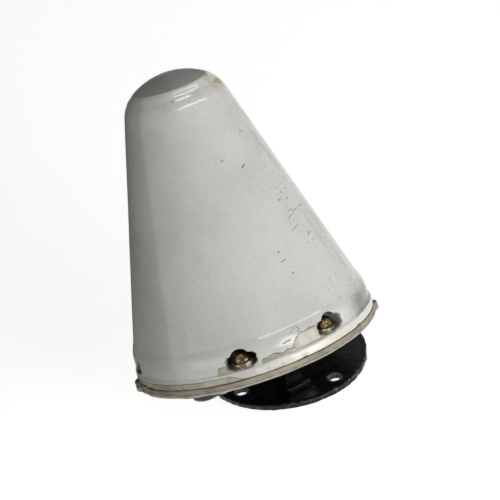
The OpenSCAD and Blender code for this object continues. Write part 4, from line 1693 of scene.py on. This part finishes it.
@dataclass
class BenchWork:
    """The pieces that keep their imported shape: each gets a finish, and those in view get broken edges."""

    frame: dict

    def slot_of(self, node: str) -> str:
        """The record's material slot of a node."""
        return next(p["material_slot"] for p in self.frame["record"]["subparts"] if p["node"] == node)

    def body_of(self, node: str) -> str:
        """The body that a node rides on."""
        bodies = self.frame["record"]["behaviour"]["bodies"]
        return next(name for name, nodes in bodies.items() if node in nodes)

    def dress(self, node: str, material: bpy.types.Material) -> None:
        """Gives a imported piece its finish.

        Args:
            node: the piece.
            material: its finish.
        """
        data = self.frame["nodes"][node].data
        data.materials.clear()
        data.materials.append(material)
        LOG.info("%s: packed shape, %s", node, material.name)

    def break_edges(self, node: str, width: float, material: bpy.types.Material) -> None:
        """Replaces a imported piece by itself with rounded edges.

        Args:
            node: the piece.
            width: width of the rounding, in millimetres.
            material: its finish.
        """
        mesh = bmesh.new()
        mesh.from_mesh(self.frame["nodes"][node].data)
        mesh.transform(Matrix.Scale(1 / MM, 4))
        bmesh.ops.remove_doubles(mesh, verts=mesh.verts, dist=1e-3)
        bmesh.ops.dissolve_limit(mesh, angle_limit=math.radians(1.5), verts=mesh.verts, edges=mesh.edges)
        sharp = [edge for edge in mesh.edges
                 if len(edge.link_faces) == 2 and edge.calc_face_angle(0.0) > math.radians(40)]
        bmesh.ops.bevel(mesh, geom=sharp, offset=width, segments=2, profile=0.5, affect="EDGES",
                        clamp_overlap=True)
        finished(node + "_dressed", mesh, Matrix.Identity(4), material, self.body_of(node),
                 [node], 35.0)


# ---------------------------------------------------------------- studio


@dataclass(frozen=True)
class SoftBox:
    """A soft lamp that stands round the object and faces it.

    Attributes:
        name: the lamp's name.
        toward: direction from the object to the lamp: right, up and back as the camera sees them.
        along: direction of the lamp's width, in the same axes.
        size: width and height, in metres.
        power: power, in watts.
        distance: distance from the object, in metres.
        glint: it only puts a shine on glossy surfaces.
    """

    name: str
    toward: tuple[float, float, float]
    along: tuple[float, float, float]
    size: tuple[float, float]
    power: float
    distance: float = 1.6
    glint: bool = False


@dataclass
class Studio:
    """Pale floor, white surroundings, soft lamps and the camera, all fixed in the part's frame.

    Attributes:
        camera_azimuth: where the camera stands round the cone's axis, in degrees.
        camera_elevation: how far it looks down on the rim, in degrees.
        camera_lean: how far the cone's axis leans in its view, in degrees.
        camera_distance: its distance, in metres.
        camera_aim: what it looks at, in the head frame.
        lens: its focal length, in millimetres.
        floor_half: half the floor's width, in metres.
        glow: how bright the floor is to the camera and in reflections.
        fill: strength of the even light from all round.
        aim_z: height in the head frame that lamps and cloths face.
        lamps: the lamps. The key is wide, the strip and the pane draw the bright lines on shoulder and
            crown, and the two bounces lift the shadow side from below.
    """

    head: HeadFrame
    camera_azimuth: float = -22.4
    camera_elevation: float = 14.61
    camera_lean: float = 18.58
    camera_distance: float = 2.0037
    camera_aim: tuple[float, float, float] = (-7.36, 19.88, 55.16)
    lens: float = 216.0
    floor_half: float = 3.0
    glow: float = 0.8
    fill: float = 0.21
    aim_z: float = 80.0
    lamps: tuple[SoftBox, ...] = (
        SoftBox("key", (0.74, -0.12, 0.66), (0.66, 0.0, -0.74), (1.4, 0.6), 17.5),
        SoftBox("side", (0.95, 0.1, 0.1), (0.1, 0.0, -0.95), (1.0, 0.8), 3.0),
        SoftBox("strip", (0.41, 0.52, 0.75), (1.0, 0.36, -0.78), (2.0, 0.06), 8.0, glint=True),
        SoftBox("pane", (0.0, 0.77, 0.64), (0.55, 0.17, -0.2), (0.7, 0.06), 3.5, glint=True),
        SoftBox("low_bounce", (-0.15, -0.45, 0.88), (1.0, 0.0, 0.0), (1.2, 0.6), 0.6),
        SoftBox("floor_bounce", (-0.6, -0.46, 0.62), (1.0, 0.0, 0.9), (0.36, 0.22), 0.42, distance=0.6),
    )

    def axes(self) -> tuple[Vector, Vector, Vector]:
        """Works out how the camera is turned.

        Returns:
            Its right, up and back directions in the part's frame.
        """
        azimuth, elevation, lean = (math.radians(a) for a in
                                    (self.camera_azimuth, self.camera_elevation, self.camera_lean))
        back = Vector((math.cos(elevation) * math.cos(azimuth), math.cos(elevation) * math.sin(azimuth),
                       math.sin(elevation)))
        level = Vector((0, 0, 1)).cross(back).normalized()
        upright = back.cross(level)
        right = math.cos(lean) * level - math.sin(lean) * upright
        up = math.sin(lean) * level + math.cos(lean) * upright
        return tuple(self.head.direction(*v) for v in (right, up, back))

    def camera(self) -> None:
        """Sets up the long-lens camera."""
        right, up, back = self.axes()
        data = bpy.data.cameras.new("camera")
        data.lens = self.lens
        data.sensor_width = 36.0
        data.clip_end = 50.0
        camera = bpy.data.objects.new("camera", data)
        stand = self.head.point(*self.camera_aim) + back * self.camera_distance
        camera.matrix_world = Matrix.Translation(stand) @ Matrix((right, up, back)).transposed().to_4x4()
        bpy.context.scene.collection.objects.link(camera)
        bpy.context.scene.camera = camera

    def facing(self, toward: Sequence[float], distance: float, along: Sequence[float]) -> Matrix:
        """Place of a thing that stands round the object and faces it.

        Args:
            toward: direction from the object to the thing: right, up and back as the camera sees them.
            distance: distance from the object, in metres.
            along: direction of the thing's width, in the same axes.

        Returns:
            What takes the thing's own frame, with its face on the XY plane, to the part's frame.
        """
        axes = Matrix(self.axes()).transposed()
        away = (axes @ Vector(toward)).normalized()
        across = away.cross(axes @ Vector(along)).normalized()
        turn = Matrix((across.cross(away), across, away)).transposed().to_4x4()
        return Matrix.Translation(self.head.point(0, 0, self.aim_z) + away * distance) @ turn

    def lamp(self, box: SoftBox) -> None:
        """Adds a lamp.

        Args:
            box: the lamp's sizes and place.
        """
        data = bpy.data.lights.new(box.name, "AREA")
        data.shape = "RECTANGLE"
        data.size, data.size_y = box.size
        data.energy = box.power
        lamp = bpy.data.objects.new(box.name, data)
        lamp.matrix_world = self.facing(box.toward, box.distance, box.along)
        lamp.visible_diffuse = not box.glint
        bpy.context.scene.collection.objects.link(lamp)

    def flat_piece(self, name: str, size: tuple[float, float], material: bpy.types.Material,
                   place: Matrix | None = None) -> bpy.types.Object:
        """Adds a flat rectangle that belongs to the studio.

        Args:
            name: its name.
            size: width and height, in metres.
            material: what it's made of.
            place: what takes its own frame to the part's, or None where they are the same.

        Returns:
            The rectangle.
        """
        data = bpy.data.meshes.new(name)
        x, y = size[0] / 2, size[1] / 2
        data.from_pydata([(-x, -y, 0), (x, -y, 0), (x, y, 0), (-x, y, 0)], [], [(0, 1, 2, 3)])
        data.materials.append(material)
        piece = bpy.data.objects.new(name, data)
        piece.matrix_world = place or Matrix.Identity(4)
        bpy.context.scene.collection.objects.link(piece)
        return piece

    def cloths(self) -> None:
        """Hangs cloths out of the picture, which take the shine off the sides that they face."""
        black, pale = (Moulding(name, colour, colour, 0.85, 1.0, 0.1).build()
                       for name, colour in (("black_felt", "#191919"), ("pale_felt", "#CACACA")))
        beside = self.facing((-1.0, 0.0, 0.085), 0.18, (-0.085, 0.0, -1.0)) @ Matrix.Translation((0.72, 0, 0))
        above = self.facing((-0.1, 0.85, -0.75), 1.15, (1.0, 0.0, 0.0))
        right, _, back = self.axes()
        spot = self.head.point(0, 0, 0) - right * 0.27 - back * 0.2
        turn = Matrix.Rotation(math.atan2(back.y, back.x), 4, "Z")
        below = Matrix.Translation((spot.x, spot.y, 0.003)) @ turn
        cloths = [self.flat_piece("left_flag", (1.5, 1.4), black, beside),
                  self.flat_piece("top_flag", (1.6, 1.3), pale, above),
                  self.flat_piece("floor_flag", (0.6, 0.4), pale, below)]
        for cloth in cloths:
            cloth.visible_camera = False
            cloth.visible_shadow = False
        cloths[-1].visible_diffuse = False

    def surroundings(self) -> None:
        """White for the camera and in reflections, and a plain even fill on the object."""
        world = bpy.data.worlds.new("studio")
        bpy.context.scene.world = world
        world.use_nodes = True
        tree = world.node_tree
        tree.nodes.clear()
        path = add(tree, "LightPath").outputs
        seen = Field(path["Is Camera Ray"]) | path["Is Glossy Ray"] | path["Is Transmission Ray"]
        level = add(tree, "MapRange", {"Value": seen, "To Min": self.fill, "To Max": 1.0})
        sky = add(tree, "Background", {"Color": (1, 1, 1, 1), "Strength": level.outputs["Result"]})
        add(tree, "OutputWorld", {"Surface": sky.outputs["Background"]})

    def floor(self) -> None:
        """A pale floor under the flange, white to the camera but for the object's shadow."""
        mix = Recipe("pale_floor")
        path = add(mix.tree, "LightPath").outputs
        seen = Field(path["Is Camera Ray"]) | path["Is Glossy Ray"] | path["Is Transmission Ray"]
        matt = add(mix.tree, "BsdfDiffuse", {"Color": srgb("#E6E6E4")})
        glow = add(mix.tree, "Emission", {"Color": (1, 1, 1, 1), "Strength": seen * self.glow})
        both = add(mix.tree, "AddShader", {0: matt.outputs[0], 1: glow.outputs[0]})
        add(mix.tree, "OutputMaterial", {"Surface": both.outputs[0]})
        self.flat_piece("floor", (2 * self.floor_half, 2 * self.floor_half), mix.material)

    def build(self) -> None:
        """Sets up camera, lamps, cloths, surroundings and floor."""
        self.camera()
        for box in self.lamps:
            self.lamp(box)
        self.cloths()
        self.surroundings()
        self.floor()
        bpy.context.scene.view_settings.view_transform = "Standard"
        LOG.info("studio: camera %.1f m away, %d lamps", self.camera_distance, len(self.lamps))


Finish = Metal | Moulding | SolderMask | PrimedCasting | ChippedEnamel


def stock_finishes() -> dict[str, Finish]:
    """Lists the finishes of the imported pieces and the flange.

    Returns:
        A finish for each of the record's material slots that those pieces use.
    """
    return {
        # Turned on a lathe: fine rings that draw the highlight out along the axis
        "stainless": Metal("turned_stainless_steel", "#B9BAB8", "#8C8C88", Tooling.TURNED, 0.26, 0.3),
        "brass": Metal("turned_brass", "#C9A65E", "#8E7038", Tooling.TURNED, 0.24, 0.3),
        # Pressed from powder: a broken, dull shine
        "bronze": Metal("sintered_bronze", "#A97A45", "#7A5530", Tooling.CAST, 0.42, 0.4, 0.6),
        # Cutter lines that run across the flat faces
        "aluminium": Metal("milled_aluminium", "#C3C5C6", "#9FA2A3", Tooling.MILLED, 0.3, 0.3),
        # Drawn sheet under tin: nearly a mirror, with faint long lines
        "tin": Metal("bright_tin_plate", "#D2D4D4", "#A9ACAC", Tooling.DRAWN, 0.2, 0.2),
        # Plated: no tool marks, but a cloudy shine, yellowish on zinc and brown on copper
        "motor_case": Metal("zinc_plated_steel", "#A4A7A6", "#7F7F72", Tooling.PLATED, 0.3, 0.3),
        "copper": Metal("etched_copper", "#C8885A", "#8A5A3A", Tooling.PLATED, 0.26, 0.5),
        # Pressed fibre in resin: matt, brown and coarse
        "fibre": Moulding("resin_bonded_fibre", "#4A382A", "#7A6650", 0.75, 0.9, 0.08),
        # Rubber from an etched mould: matt, and it holds dust
        "rubber": Moulding("moulded_black_rubber", "#1F1E1C", "#4B4843", 0.7, 0.8, 0.05),
        # Moulded plastics: a soft sheen on a fine even grain
        "nylon": Moulding("moulded_black_nylon", "#1B1C1E", "#55534D", 0.42, 0.6, 0.03),
        "terminal_plastic": Moulding("moulded_green_polyamide", "#2C7F4E", "#6B7A5C", 0.42, 0.6, 0.02),
        "sensor_plastic": Moulding("moulded_black_polyamide", "#222325", "#5A5850", 0.45, 0.6, 0.02),
        # Machined, so almost smooth, with a waxy shine
        "acetal": Moulding("machined_acetal", "#E2DDCC", "#C2B99E", 0.32, 0.5, 0.012),
        "circuit_board": SolderMask(),
        "tray_metal": PrimedCasting(),
        "black_paint": ChippedEnamel(),
    }


def main() -> None:
    """Loads the frame and builds every sub-assembly round it."""
    logging.basicConfig(level=logging.INFO, format="%(name)s: %(message)s")
    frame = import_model()
    head = HeadFrame.measured(frame)
    LOG.info("head frame: %.1f mm tall, rim radius %.1f mm", head.height, head.rim_r)

    materials = {slot: finish.build() for slot, finish in stock_finishes().items()}
    screws = ScrewRing(head.rim_r - 10.0)
    Radome(head, screws, AgedGelcoat()).build()
    SealantBead(head, CuredSealant()).build()
    # Brass gone brown, still bright where the head is rubbed, over a washer whose nickel has dulled
    RimFasteners(
        head,
        screws,
        Metal("tarnished_brass", "#6C5D40", "#2A251B", Tooling.PLATED, 0.14, 0.62),
        Metal("dull_nickel_plate", "#8F8A7A", "#55513F", Tooling.PLATED, 0.28, 0.5),
    ).build()

    # The lug fills the room between the friction disc and the far pivot washer
    joints = {joint["name"]: joint for joint in frame["joints"]}
    pivot = Vector(joints["tilt"]["pos_m"]) / MM
    lug_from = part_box("friction_disc")[1].y / MM
    lug_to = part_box("pivot_washers")[1].y / MM - WASHER_T
    DeckFlange(materials["black_paint"], pivot, lug_from, lug_to).build()

    bench = BenchWork(frame)
    broken = {"tilt_arm": 0.9, "pivot_bolt": 0.4, "pivot_nut": 0.4, "pivot_washers": 0.25, "gland_body": 0.4,
              "gland_nut": 0.5, "vent_plug": 0.5, "base_tray": 0.5, "arm_screws": 0.2, "gland_seal": 0.3}
    handmade = {"radome", "sealant_bead", "radome_screws", "cup_washers", "mount_flange"}
    for node in sorted(set(frame["nodes"]) - handmade):
        material = materials[bench.slot_of(node)]
        if node in broken:
            bench.break_edges(node, broken[node], material)
        else:
            bench.dress(node, material)

    Studio(head).build()


if __name__ == "__main__":
    main()
